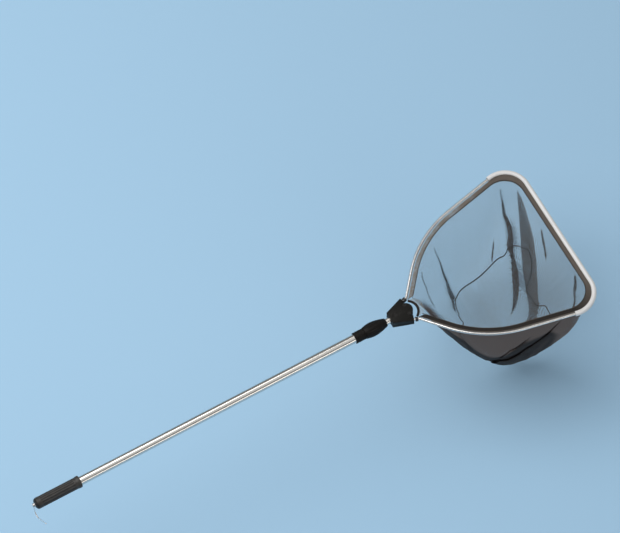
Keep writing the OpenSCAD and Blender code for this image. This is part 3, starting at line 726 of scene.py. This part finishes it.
def folded(s, angle):
    """Where the cloth at (s, angle) lies once it is folded: distance round the mouth, height and crowding.

    With t the distance from a fold's line over its half width, the cloth slides back by sin(pi t)
    half widths up to t = 1/2, so that it lies three deep near the line. From there the slide
    falls off as a squared cosine, to nothing at t = 3/2. A fold narrower than 4 mm slides less.
    The height rises over the middle layer and comes down again past the fold. The thread is
    closest where the cloth turns back, near t = 0.4, and the crowding also picks darker net tones,
    painted shade between the layers.
    """
    lie, height, crowd = s.copy(), np.zeros(s.shape), np.zeros(s.shape)
    degrees = np.degrees(angle)
    for rise, thread, points in FOLDS:
        line, width, first, last = fold_line(points, degrees)
        live = ease(degrees, first, first + 4) * (1 - ease(degrees, last - 6, last))
        width = np.maximum(width * live, 0.01 * MM)
        t = (s - line) / width
        past = np.clip(abs(t) - 0.5, 0, 1)
        slide = np.sin(np.pi * np.clip(t, -0.5, 0.5)) * np.cos(np.pi / 2 * past) ** 2
        lie -= width * np.minimum(1, width / (4 * MM)) * slide
        height += rise * MM * live * ease(t, -0.4, 0.4) * (1 - ease(t, 1.0, 1.4))
        turn = np.exp(-(((abs(t) - 0.4) / 0.07) ** 2))
        # Painted shade: this crowding also darkens the net's tone in the fold.
        crowd = np.maximum(crowd, thread * live * (1 - ease(abs(t), 0.9, 1.15)) * (1 + 0.8 * turn))
    return lie, height, crowd


def crowding(s, angle):
    """Share of extra thread where the net hangs slack: the near side's wall and a bunch at the rear.

    The wall has one share down to the line of the near side's shade table, smoothed, and a larger
    one below it, where slanting creases lessen it by a sine. Both widen the threads; the larger one
    also picks the darkest net tones, painted shade on the lower wall, and the creases show in it as
    paler streaks of painted light. It fades out at both ends of the near side and towards the
    bottom. The bunch is a bell curve beside the back edge, wider towards the near side.
    """
    _, drop = bag_section(angle)
    near = ease(s, 0.765, 0.84) * (1 - ease(s, 1.11, 1.172)) * (1 - ease(angle, 0.85, 1.28))
    at_s, at_drop = np.array(SHADE_FROM).T
    line = sum(np.interp(s + 0.008 * k, at_s, at_drop) for k in range(-2, 3)) / 5
    # Painted shade: below this line the share rises and picks the darkest net tones.
    dark = ease(drop, line - 0.05, line + 0.04) * ease(s, 0.83, 0.87)
    crease = 0.5 + 0.5 * np.sin(2 * np.pi * (3.5 * drop - s / 0.045))
    dark *= 1 - 0.12 * crease * ease(drop, line + 0.02, line + 0.2)
    beside = np.mod(s - 0.015 + LOOP / 2, LOOP) - LOOP / 2
    wide = np.where(beside > 0, 0.036, 0.07)
    bunch = np.exp(-((beside / wide) ** 2) - ((np.degrees(angle) - 55) / 14) ** 2)
    return np.maximum(near * (0.8 + 0.75 * dark), 1.3 * bunch)


def bag_sheet():
    """Net bag: the smooth bag with its folds and with shallow waves.

    Rows lie at even steps of length down a middle section. The waves' height is a sum of two sines
    along the mouth. It dies out at the hem and at the keel, and it and the folds' height are laid
    off along the surface's normal. The wall's UV is the smooth bag's length each way, and the
    bottom panel's is its plan.
    """
    columns, rows = 620, 64
    half_width, depth, wave = 0.17, 0.25, 0.6 * MM
    fine = np.linspace(0, np.pi / 2, 4000)
    share, drop = bag_section(fine)
    fall = np.concatenate([[0], np.cumsum(np.hypot(np.diff(share) * half_width, np.diff(drop) * depth))])
    angle = np.interp(np.linspace(0, fall[-1], rows), fall, fine)
    seam_row = int(np.argmin(abs(angle - SEAM_ANGLE)))
    s, a = np.meshgrid(np.linspace(0, LOOP, columns + 1), angle, indexing="ij")
    degrees = np.degrees(a)
    lie, height, crowd = folded(s, a)
    slack = crowding(lie, a)
    live = ease(degrees, 0, 16) * (1 - ease(degrees, 72, 88))
    ripple = 0.6 * np.sin(2 * np.pi * (s / 0.047 + 0.7 * np.sin(2 * np.pi * s / 0.23)) + 2.2 * a)
    ripple += 0.25 * np.sin(2 * np.pi * s / 0.0193 + 5 * a)
    height += live * wave * ripple
    grid = bag_at(lie, a) + height[..., None] * bag_normal(lie, a)
    grid[-1] = grid[0]
    smooth = bag_at(s, a)
    length = np.cumsum(np.linalg.norm(np.diff(smooth, axis=1, prepend=smooth[:, :1]), axis=-1), 1)
    wall = np.stack([s, length], -1).reshape(-1, 2)
    plan = smooth[..., :2].reshape(-1, 2)
    faces = grid_faces(columns + 1, rows, (False, False))
    on_wall = (faces[:, 0] % rows < seam_row)[:, None, None]
    uv = np.where(on_wall, wall[faces], plan[faces])
    bag = mesh_from("mesh_bag", grid.reshape(-1, 3), faces, uv, (), slack + crowd)
    weld(bag)
    thick = bag.modifiers.new("thread", "SOLIDIFY")
    thick.thickness = 0.9 * MM
    thick.offset = 0
    return placed(bag, bag_net, "head", "bag_net", "net_bag")


def bag_normal(s, angle):
    """Unit vector from the smooth bag towards its inside: the cross product of two short steps on it."""
    tiny, turn = 0.4 * MM, 0.004
    round_way = bag_at(s + tiny, angle) - bag_at(s - tiny, angle)
    down_way = bag_at(s, np.minimum(angle + turn, np.pi / 2)) - bag_at(s, np.maximum(angle - turn, 0))
    normal = np.cross(round_way, down_way)
    normal /= np.maximum(np.linalg.norm(normal, axis=-1, keepdims=True), 1e-12)
    middle = np.array([(KEEL_REAR + KEEL_FRONT) / 2, 0, -0.4 * BAG_DEPTH])
    return normal * np.sign(((middle - bag_at(s, angle)) * normal).sum(-1, keepdims=True))


def bottom_seam():
    """Seam of the bottom panel: a flat oval carried round the bag, on top of its net and its folds."""
    s = np.linspace(0, LOOP, 601)[:-1]
    at_s, at_angle = np.array(SEAM + ((LOOP / MM, SEAM[0][1]),), float).T
    angle = np.radians(np.interp(s, at_s * MM, at_angle))
    angle = sum(np.roll(angle, k) for k in range(-2, 3)) / 5
    normal = bag_normal(s, angle)
    height = 0.9 * MM + fold_top(s, angle)
    path = bag_at(s, angle) + height[:, None] * normal
    way = np.roll(path, -1, 0) - np.roll(path, 1, 0)
    way /= np.maximum(np.linalg.norm(way, axis=1, keepdims=True), 1e-9)
    flat = np.cross(normal, way)
    flat /= np.maximum(np.linalg.norm(flat, axis=1, keepdims=True), 1e-9)
    round_it = np.linspace(0, 2 * np.pi, 11)
    wide, high = 1.3 * MM, 0.7 * MM
    grid = oval_tube(path, wide * flat, high * normal, round_it)
    grid = np.concatenate([grid, grid[:1]])
    along = np.arange(len(grid)) * LOOP / (len(grid) - 1)
    seam = skin("bag_seam", grid, (False, False), uv_grid(along, round_it / (2 * np.pi)))
    return placed(seam, seam_black, "head", "hem_net")


def fold_top(s, angle):
    """Height of the folds' top layer: full up to 0.5 half widths from a fold's line, none past 0.8."""
    top = np.zeros(s.shape)
    degrees = np.degrees(angle)
    for rise, _, points in FOLDS:
        line, width, first, last = fold_line(points, degrees)
        inside = (degrees > first) & (degrees < last)
        top = np.maximum(top, inside * rise * MM * (1 - ease(abs(s - line) / width, 0.5, 0.8)))
    return top


def hem_flange(s):
    """Vector from the mouth at s to the bag's first ring, in plan."""
    mouth, _ = mouth_track.at(s)
    return bag_at(s, np.zeros(s.shape))[..., :2] - mouth


def sewn_edge(name, track, s, mouth_s, radius, reach, grow, thread):
    """Doubled edge of net: round a rod or cord, pinched together, then flat as far as the bag.

    The section starts at the flap's inner edge below, runs to the pinch, goes round the rod at
    "radius" and comes back above. The flap follows the vector from the mouth to the bag's first
    ring times "grow", and its two layers ripple along the edge. "thread" gives the share of extra
    thread from the place along the edge and the share of the way across the flap.
    """
    gap, pinch = 0.55 * MM, 0.42
    share = np.linspace(1, 0, 9)
    angle = np.linspace(-np.pi + pinch, np.pi - pinch, 22)
    flat, bare = np.ones(len(share)), np.zeros(len(angle))
    layer = np.concatenate([-flat, bare, flat])
    flap = np.concatenate([share, bare, share[::-1]])
    out = np.concatenate([-reach * flat, radius * np.cos(angle), -reach * flat])
    up = np.concatenate([-gap * flat, radius * np.sin(angle), gap * flat])
    grid = carried(track, s, np.repeat(out[None], len(s), 0), up[None, :])
    flange = hem_flange(mouth_s) * grow[:, None]
    grid[..., :2] += flap[None, :, None] * flange[:, None, :]
    wave = 0.7 * np.sin(2 * np.pi * s / 0.031) + 0.5 * np.sin(2 * np.pi * s / 0.0127 + 1)
    grid[..., 2] += flap * (1 - 0.6 * flap) * wave[:, None] * MM - 0.4 * MM * flap**2
    grid[..., 2] -= np.where(flap > 0.99, layer * (gap - 0.1 * MM), 0)
    grid = np.concatenate([grid, grid[:, :1]], 1)
    dense = thread(s[:, None], np.append(flap, flap[0])[None])
    run = np.cumsum(np.linalg.norm(np.diff(grid, axis=1, prepend=grid[:, :1]), axis=-1), 1)
    uv = np.stack([np.repeat(s[:, None], grid.shape[1], 1), run], -1)
    return skin(name, grid, (False, False), uv, True, dense)


def rod_thread(s, flap):
    """Thread of the rod's hem: none extra on the rod, and more on the flap from the far to the near side.

    The flap's two edges have up to 0.4 more than its middle. The share widens the doubled flap's threads, and
    towards the near side it also picks darker net tones, painted shade on the near hem.
    """
    side, corner, corner_end, near = wire_track.begin[[4, 5, 7, 8]]
    # Painted shade: the rise towards the near side darkens the hem's tone as well as thickening its thread.
    middle = np.interp(s, [side, corner, corner_end, near], [0.35, 0.66, 0.66, 1.0])
    edges = 1 - ease(flap, 0.02, 0.12) * (1 - ease(flap, 0.84, 0.96))
    return np.where(flap > 0, middle + (np.minimum(middle + 0.4, 1) - middle) * edges, 0.0)


def cord_thread(s, flap):
    """Thread of the back edge's hem: close round the cord and open on its flap."""
    return np.where(flap > 0.05, 0.05, 1.2) + 0 * s


def rod_hem():
    """Hem on the rod, from band to band; its flap grows out where the bag begins."""
    first = EAR_GRIP + HEM_START
    s = steps(first, wire_track.length - first, 2.5 * MM)
    wire_marks = wire_track.begin[2:12].copy()
    mouth_marks = mouth_track.begin[1:]
    arm = mouth_marks[1] - mouth_marks[0]
    wire_marks[0], wire_marks[-1] = wire_marks[1] - arm, wire_marks[-2] + arm
    mouth_s = np.interp(s, wire_marks, mouth_marks)
    inside = np.minimum(s, wire_track.length - s)
    grow = ease(inside, first + BAND_LEN, first + BAND_LEN + 6 * MM)
    hem = sewn_edge(
        "net_hem_sleeve", wire_track, s, mouth_s, WIRE_R + 0.6 * MM, MOUTH_OFFSET, grow, rod_thread)
    return placed(hem, hem_net, "head", "hem_net", "net_hem")


def back_hem():
    """Hem on the back edge's cord, between the two arms."""
    s = steps(-BACK_HALF, BACK_HALF, 1.5 * MM)
    hem = sewn_edge(
        "back_hem_sleeve", cord_track, s * CORD_ARC / BACK_ARC, np.mod(s, LOOP), CORD_R + 0.5 * MM,
        CORD_R + NET_GAP, np.ones(len(s)), cord_thread)
    return placed(hem, hem_net, "head", "hem_net")


def twisted_cord():
    """Cord in the back edge: three strands, as a radius that swells three times round and winds along."""
    half = math.atan2(cord_end[1], cord_end[0] - cord_centre[0])
    s = steps(-half * CORD_ARC, half * CORD_ARC, 0.6 * MM)
    angle = np.linspace(0, 2 * np.pi, 19)
    depth = np.minimum(s - s[0], s[-1] - s)
    end = np.sqrt(np.clip(1 - (1 - np.clip((depth + 0.2 * MM) / CORD_R, 0, 1)) ** 2, 0.02, 1))
    lay = 16 * MM
    swell = 0.9 + 0.1 * np.cos(3 * (angle[None] - 2 * np.pi * s[:, None] / lay))
    radius = CORD_R * end[:, None] * swell
    grid = carried(cord_track, s, radius * np.cos(angle), radius * np.sin(angle))
    cord = skin("back_edge_cord", grid, (False, False), uv_grid(s, angle / (2 * np.pi)), True)
    return placed(cord, cord_black, "head", "hem_net", "back_cord")


def end_bands():
    """Bands on the hem's ends: a rounded oblong section turned round the rod, on both arms."""
    inner, outer = WIRE_R + 0.75 * MM, WIRE_R + 2.2 * MM
    first = EAR_GRIP + HEM_START
    box = [(first, inner), (first + BAND_LEN, inner), (first + BAND_LEN, outer), (first, outer)]
    section = rounded(box, 0.7 * MM)
    angle = np.linspace(0, 2 * np.pi, 33)
    grids = []
    for s in (section[:, 0], wire_track.length - section[:, 0]):
        radius = section[:, 1:]
        grid = carried(wire_track, s, radius * np.cos(angle), radius * np.sin(angle))
        grids.append(np.concatenate([grid, grid[:1]]))
    n, m = grids[0].shape[:2]
    along = np.arange(n) * 0.4 * MM
    uv = uv_grid(along, angle / (2 * np.pi)).reshape(-1, 2)
    faces = grid_faces(n, m, (False, False))
    flipped = faces[:, ::-1] + n * m
    points = np.concatenate([g.reshape(-1, 3) for g in grids])
    corners = np.concatenate([uv[faces], uv[faces][:, ::-1]])
    bands = mesh_from("hem_bands", points, np.concatenate([faces, flipped]), corners)
    weld(bands)
    return placed(bands, cord_black, "head", "hem_net", "hem_end_bands")


def hem_stitching():
    """Running stitch along the flap's inner edge: a thin thread that weaves to and fro."""
    s = steps(BACK_HALF, LOOP - BACK_HALF, 1.2 * MM)
    mouth, heading = mouth_track.at(s)
    stitch_len, thread = 7 * MM, 0.55 * MM
    sway = 0.9 + 0.05 * np.sin(2 * np.pi * s / stitch_len)
    line = mouth + hem_flange(s) * sway[:, None]
    height = 0.9 * MM + 0.25 * MM * np.cos(2 * np.pi * s / stitch_len)
    path = np.concatenate([line, height[:, None]], -1)
    left = np.concatenate([direction(heading + np.pi / 2), np.zeros((len(s), 1))], -1)
    upward = np.broadcast_to([0, 0, 1.0], left.shape)
    angle = np.linspace(0, 2 * np.pi, 9)
    grid = oval_tube(path, thread * left, thread * upward, angle)
    stitch = skin("hem_stitching", grid, (False, False), uv_grid(s, angle / (2 * np.pi)), True)
    return placed(stitch, seam_black, "head", "hem_net")


def grip_sleeve():
    """Grip: a profile turned round the pole, with flutes as a cosine round it and a rolled front lip.

    The section goes out along the outer skin, round the front edge and back through the bore.
    The radius loses the flute's depth times the cosine's share, which dies out before both ends.
    """
    low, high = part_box("grip")
    back, front, lip_r = low.x, high.x, high.z
    bore, body_r, lip_len = 10.05 * MM, 13 * MM, 7 * MM
    corners = [
        (back, bore), (back, body_r), (front - lip_len - 1.2 * MM, body_r),
        (front - lip_len + 0.4 * MM, lip_r), (front, lip_r), (front, bore),
    ]
    radii = [0.1 * MM, 0.5 * MM, 1.5 * MM, 1.2 * MM, 1.6 * MM, 0.3 * MM]
    x, radius = resampled(rounded(corners, radii), 0.7 * MM).T
    sides, flutes, depth = 224, 14, 0.9 * MM
    angle = 2 * np.pi * np.arange(sides) / sides
    share = (0.5 + 0.5 * np.cos(flutes * angle)) ** 1.3
    live = ease(x, back + 6 * MM, back + 8.5 * MM) * (1 - ease(x, front - 16.5 * MM, front - 14 * MM))
    outside = ease(radius, 11.5 * MM, 12.5 * MM)
    fluted = radius[:, None] - (depth * live * outside)[:, None] * share
    grip = skin("grip_sleeve", turned(x, fluted, sides), (True, True))
    return placed(grip, grip_black, "handle", "grip_plastic", "grip")


def butt_cap():
    """End cap: a quarter ellipse from the hook's land to the grip's radius, with its spigot and bore."""
    low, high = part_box("grip_end_cap")
    land, rim, dome = 7 * MM, high.z, 7 * MM
    spigot, bore = 8.95 * MM, 2.25 * MM
    angle = np.linspace(0.02, np.pi / 2, 24)
    curve = np.stack([low.x + dome * (1 - np.cos(angle)), land + (rim - land) * np.sin(angle)], -1)
    seat, bevel = low.x + dome, 0.8 * MM
    tail = np.array([(seat, spigot), (high.x - bevel, spigot), (high.x, spigot - bevel), (high.x, bore)])
    start = np.array([(low.x, bore), (low.x, land - 0.4 * MM)])
    x, radius = resampled(np.concatenate([start, curve, tail]), 0.4 * MM).T
    cap = skin("butt_cap", turned(x, radius, 96), (True, True))
    return placed(cap, grip_black, "handle", "grip_plastic", "grip_end_cap")


def wire_hook():
    """Hook: a round wire along a shank, bend and tip, with a flattened ring of wire as its eye."""
    wire, eye, shank, bend = 1.5 * MM, 3.8 * MM, 26 * MM, 11 * MM
    plane = sum(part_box("hanging_hook"), Vector()).x / 2
    runs = [(shank - eye, 0, 0), (math.radians(135) * bend, -1 / bend, 0), (45 * MM, 0, 0)]
    track = Track((0, -eye), -np.pi / 2, runs)
    tip = np.sin(np.linspace(0, np.pi / 2, 7))[1:] * wire
    s = np.concatenate([steps(0, track.length - wire, 0.8 * MM), track.length - wire + tip])
    past = np.clip((s - track.length + wire) / wire, 0, 1)
    radius = wire * np.sqrt(np.clip(1 - past**2, 0.003, 1))
    angle = np.linspace(0, 2 * np.pi, 17)
    flat = carried(track, s, radius[:, None] * np.cos(angle), radius[:, None] * np.sin(angle))
    turn, flattened = np.linspace(0, 2 * np.pi, 41)[:, None], 1.2 * MM
    ring_r = eye + wire * np.cos(angle)
    eye_x, eye_y, eye_z = ring_r * np.cos(turn), ring_r * np.sin(turn), flattened * np.sin(angle)
    ring = np.stack(np.broadcast_arrays(eye_x, eye_y, eye_z), -1)
    uvs = [uv_grid(s, angle), uv_grid(turn * eye, angle)]
    hook = joined_grids("wire_hook", [flat, ring], uvs)
    points = np.empty(len(hook.data.vertices) * 3)
    hook.data.vertices.foreach_get("co", points)
    across, height, away = points.reshape(-1, 3).T
    moved = np.stack([plane + away, across, height], -1)
    hook.data.vertices.foreach_set("co", moved.ravel())
    return placed(hook, hook_metal, "hook", "hook_steel", "hanging_hook")


def joined_grids(name, grids, uvs):
    """One object from several closed grids, each turned to face outwards by itself."""
    parts = [skin(f"{name}_{i}", g, (False, False), u, i == 0) for i, (g, u) in enumerate(zip(grids, uvs))]
    shape = bmesh.new()
    for part in parts:
        shape.from_mesh(part.data)
    mesh = bpy.data.meshes.new(name)
    shape.to_mesh(mesh)
    shape.free()
    for part in parts:
        bpy.data.meshes.remove(part.data)
    thing = bpy.data.objects.new(name, mesh)
    bpy.context.scene.collection.objects.link(thing)
    return thing


def twist_nut():
    """Twist nut: quarter sines up to the belly and down to the nose, with finger grooves round it.

    A groove's depth is that of a round cutter that runs straight along the nut, so it shows only
    where the nut is wide. A smooth minimum of the two radii rounds the groove's edges.
    """
    low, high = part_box("lock_nut")
    rear_r, belly_r, nose_r = 13 * MM, 16 * MM, 9.2 * MM
    belly_at, length = 20 * MM, high.x - low.x
    spigot, nose_bore, step_at = 10.85 * MM, 7.8 * MM, 41 * MM
    t = np.linspace(0, 1, 40)
    outer_x = np.concatenate([belly_at * t, belly_at + (length - belly_at) * t[1:]])
    outer_r = np.concatenate([
        rear_r + (belly_r - rear_r) * np.sin(np.pi / 2 * t),
        nose_r + (belly_r - nose_r) * np.cos(np.pi / 2 * t[1:]),
    ])
    edge = 0.7 * MM
    outer_x = np.clip(outer_x, edge * 0.4, length - edge * 0.4)
    bore = np.array([
        (length, nose_r - edge), (length, nose_bore), (step_at, nose_bore),
        (step_at, spigot), (0, spigot), (0, rear_r - edge),
    ])
    section = np.concatenate([np.stack([outer_x, outer_r], -1), bore])
    x, radius = resampled(section, 0.55 * MM).T
    sides, grooves, cutter, cut = 240, 12, 3 * MM, 1.3 * MM
    angle = 2 * np.pi * np.arange(sides) / sides
    local = (np.mod(angle + np.pi / grooves, 2 * np.pi / grooves) - np.pi / grooves)[None]
    centre = belly_r + cutter - cut
    groove = centre * np.cos(local) - np.sqrt(np.clip(cutter**2 - (centre * np.sin(local)) ** 2, 0, None))
    groove = np.where(abs(centre * np.sin(local)) < cutter, groove, centre * np.cos(local) + 4 * MM)
    soft = 0.35 * MM
    lower = -soft * np.log(np.exp(-radius[:, None] / soft) + np.exp(-groove / soft))
    outside = ease(radius, 11.2 * MM, 12.2 * MM)[:, None]
    shaped = radius[:, None] + (lower - radius[:, None]) * outside
    nut = skin("twist_nut", turned(low.x + x, shaped, sides), (True, True))
    return placed(nut, lock_black, "lock_nut", "lock_plastic", "lock_nut")


def lock_sleeve():
    """Lock body: its sleeve, spigot and bores as a profile turned round the pole.

    Two shallow rings are bell curves taken off the sleeve's radius.
    """
    low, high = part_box("lock_body")
    length, sleeve_end, socket = high.x - low.x, 24 * MM, 22 * MM
    sleeve_r, spigot_r, tube_r, bore = high.z, 10.75 * MM, 10.05 * MM, 7.9 * MM
    corners = [
        (0, tube_r), (0, sleeve_r), (sleeve_end, sleeve_r), (sleeve_end, spigot_r),
        (length, spigot_r), (length, bore), (socket, bore), (socket, tube_r),
    ]
    radii = [0.2 * MM, 1.2 * MM, 0.8 * MM, 0.2 * MM, 0.4 * MM, 0.2 * MM, 0.2 * MM, 0.2 * MM]
    x, radius = resampled(rounded(corners, radii), 0.35 * MM).T
    rings = sum(np.exp(-(((x - place) / (0.7 * MM)) ** 2)) for place in (5 * MM, 19 * MM))
    radius = radius - 0.45 * MM * rings * ease(radius, 11.8 * MM, 12.2 * MM)
    lock = skin("lock_sleeve", turned(low.x + x, radius, 96), (True, True))
    return placed(lock, lock_black, "handle", "lock_plastic", "lock_body")


def block_half(node):
    """Head block half: the solid's own shape with its edges rounded."""
    thing = bpy.data.objects.new(f"{node}_shell", nodes[node].data.copy())
    bpy.context.scene.collection.objects.link(thing)
    shape = bmesh.new()
    shape.from_mesh(thing.data)
    bmesh.ops.remove_doubles(shape, verts=shape.verts, dist=1e-6)
    bmesh.ops.dissolve_limit(shape, angle_limit=math.radians(0.6), verts=shape.verts, edges=shape.edges)
    shape.to_mesh(thing.data)
    shape.free()
    thing.data.materials.clear()
    thing.data.polygons.foreach_set("use_smooth", np.ones(len(thing.data.polygons), bool))
    bevel = thing.modifiers.new("edges", "BEVEL")
    bevel.width = 0.8 * MM
    bevel.segments = 3
    bevel.limit_method = "ANGLE"
    bevel.angle_limit = math.radians(35)
    bevel.harden_normals = True
    return placed(thing, block_black, "head", "block_plastic", node)


def drawn_tube(node, body):
    """Tube: an oblong section with rounded edges turned round the pole.

    Each long side has a second corner a little way from its end, which keeps its shading straight.
    """
    low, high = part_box(node)
    wall, lead_in = 1 * MM, 3 * MM
    ends = [low.x, low.x + lead_in, high.x - lead_in, high.x]
    corners = [(x, high.z) for x in ends] + [(x, high.z - wall) for x in reversed(ends)]
    x, radius = rounded(corners, 0.3 * MM).T
    tube = skin(f"{node}_drawn", turned(x, radius, 128), (True, True))
    return placed(tube, tube_metal, body, "tube_metal", node)


def finish_solids():
    """Finishes of the solids that are shown as they are."""
    finishes = {
        "hook_screw": bright_steel,
        "head_screws": black_steel,
        "head_nuts": black_steel,
        "bush_stop_ring": black_steel,
        "lock_collet": nylon,
        "guide_bush": nylon,
        "tube_end_plug": block_black,
        "neck_plug": block_black,
    }
    for name, finish in finishes.items():
        nodes[name].data.materials.clear()
        nodes[name].data.materials.append(finish)


def soft_light(name, place, aim, size, power, colour):
    """Oblong soft light at a place, facing a point, with its width and height."""
    lamp = bpy.data.lights.new(name, "AREA")
    lamp.shape = "RECTANGLE"
    lamp.size, lamp.size_y = size
    lamp.energy = power
    lamp.color = colour
    holder = bpy.data.objects.new(name, lamp)
    holder.location = place
    holder.rotation_euler = (Vector(place) - Vector(aim)).to_track_quat("Z", "Y").to_euler()
    bpy.context.scene.collection.objects.link(holder)


def studio():
    """Pale blue floor, sky that is bright overhead and grey at the horizon, and two soft lights."""
    reach = 30.0
    mesh = bpy.data.meshes.new("floor")
    corners = ((-1, -1), (1, -1), (1, 1), (-1, 1))
    mesh.from_pydata([(reach * x, reach * y, FLOOR_Z) for x, y in corners], [], [(0, 1, 2, 3)])
    floor = bpy.data.objects.new("floor", mesh)
    bpy.context.scene.collection.objects.link(floor)
    pale = new_finish("floor_pale").shown(Base_Color=(0.36, 0.58, 0.79, 1), Roughness=0.8)
    mesh.materials.append(pale)
    world = bpy.data.worlds.new("studio")
    bpy.context.scene.world = world
    sky = Finish(world)
    height = sky.part(sky.node("ShaderNodeTexCoord"), 2)
    light = sky.ramp(height, (0.0, 0.2), (0.66, 0.2), (0.84, 0.62), (1.0, 0.72))
    background = sky.node("ShaderNodeBackground", None, {"Color": light, "Strength": 1.0})
    sky.node("ShaderNodeOutputWorld", None, {"Surface": background})
    aim = (0.7, 0, 0)
    soft_light("key", (-0.6, 1.2, 3.0), aim, (3.6, 3.6), 108, (1.0, 0.98, 0.95))
    soft_light("fill", (1.7, -2.9, 0.75), aim, (2.8, 0.9), 14, (1.0, 0.97, 0.93))


def photo_camera():
    """Long-lens camera in the photograph's direction and at its scale, with the ears on their pixel."""
    back = Vector((
        math.sin(AZIMUTH) * math.cos(ELEVATION),
        -math.cos(AZIMUTH) * math.cos(ELEVATION),
        math.sin(ELEVATION),
    ))
    right = Vector((math.cos(AZIMUTH), math.sin(AZIMUTH), 0))
    up = back.cross(right)
    across = (PHOTO_SIZE[0] / 2 - EAR_PIXEL[0]) * PIXEL
    above = (EAR_PIXEL[1] - PHOTO_SIZE[1] / 2) * PIXEL
    target = Vector((EAR_X, 0, 0)) + right * across + up * above
    lens = bpy.data.cameras.new("photo_camera")
    lens.sensor_width = 36
    lens.lens = lens.sensor_width * CAMERA_AWAY / (PHOTO_SIZE[0] * PIXEL)
    lens.clip_end = 100
    camera = bpy.data.objects.new("photo_camera", lens)
    camera.location = target + back * CAMERA_AWAY
    camera.rotation_euler = back.to_track_quat("Z", "Y").to_euler()
    bpy.context.scene.collection.objects.link(camera)
    bpy.context.scene.camera = camera


photo_camera()
studio()
finish_solids()
drawn_tube("outer_tube", "handle")
drawn_tube("inner_tube", "head")
grip_sleeve()
butt_cap()
wire_hook()
lock_sleeve()
twist_nut()
for half in ("head_block_top", "head_block_bottom"):
    block_half(half)
rod = round_rod()
guard_channel()
hem = rod_hem()
edge_hem = back_hem()
twisted_cord()
end_bands()
stitching = hem_stitching()
bag = bag_sheet()
seam = bottom_seam()
for soft in (bag, seam):
    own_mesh(soft)

bpy.context.scene.view_settings.view_transform = "Standard"
bpy.context.scene.cycles.transparent_max_bounces = 32
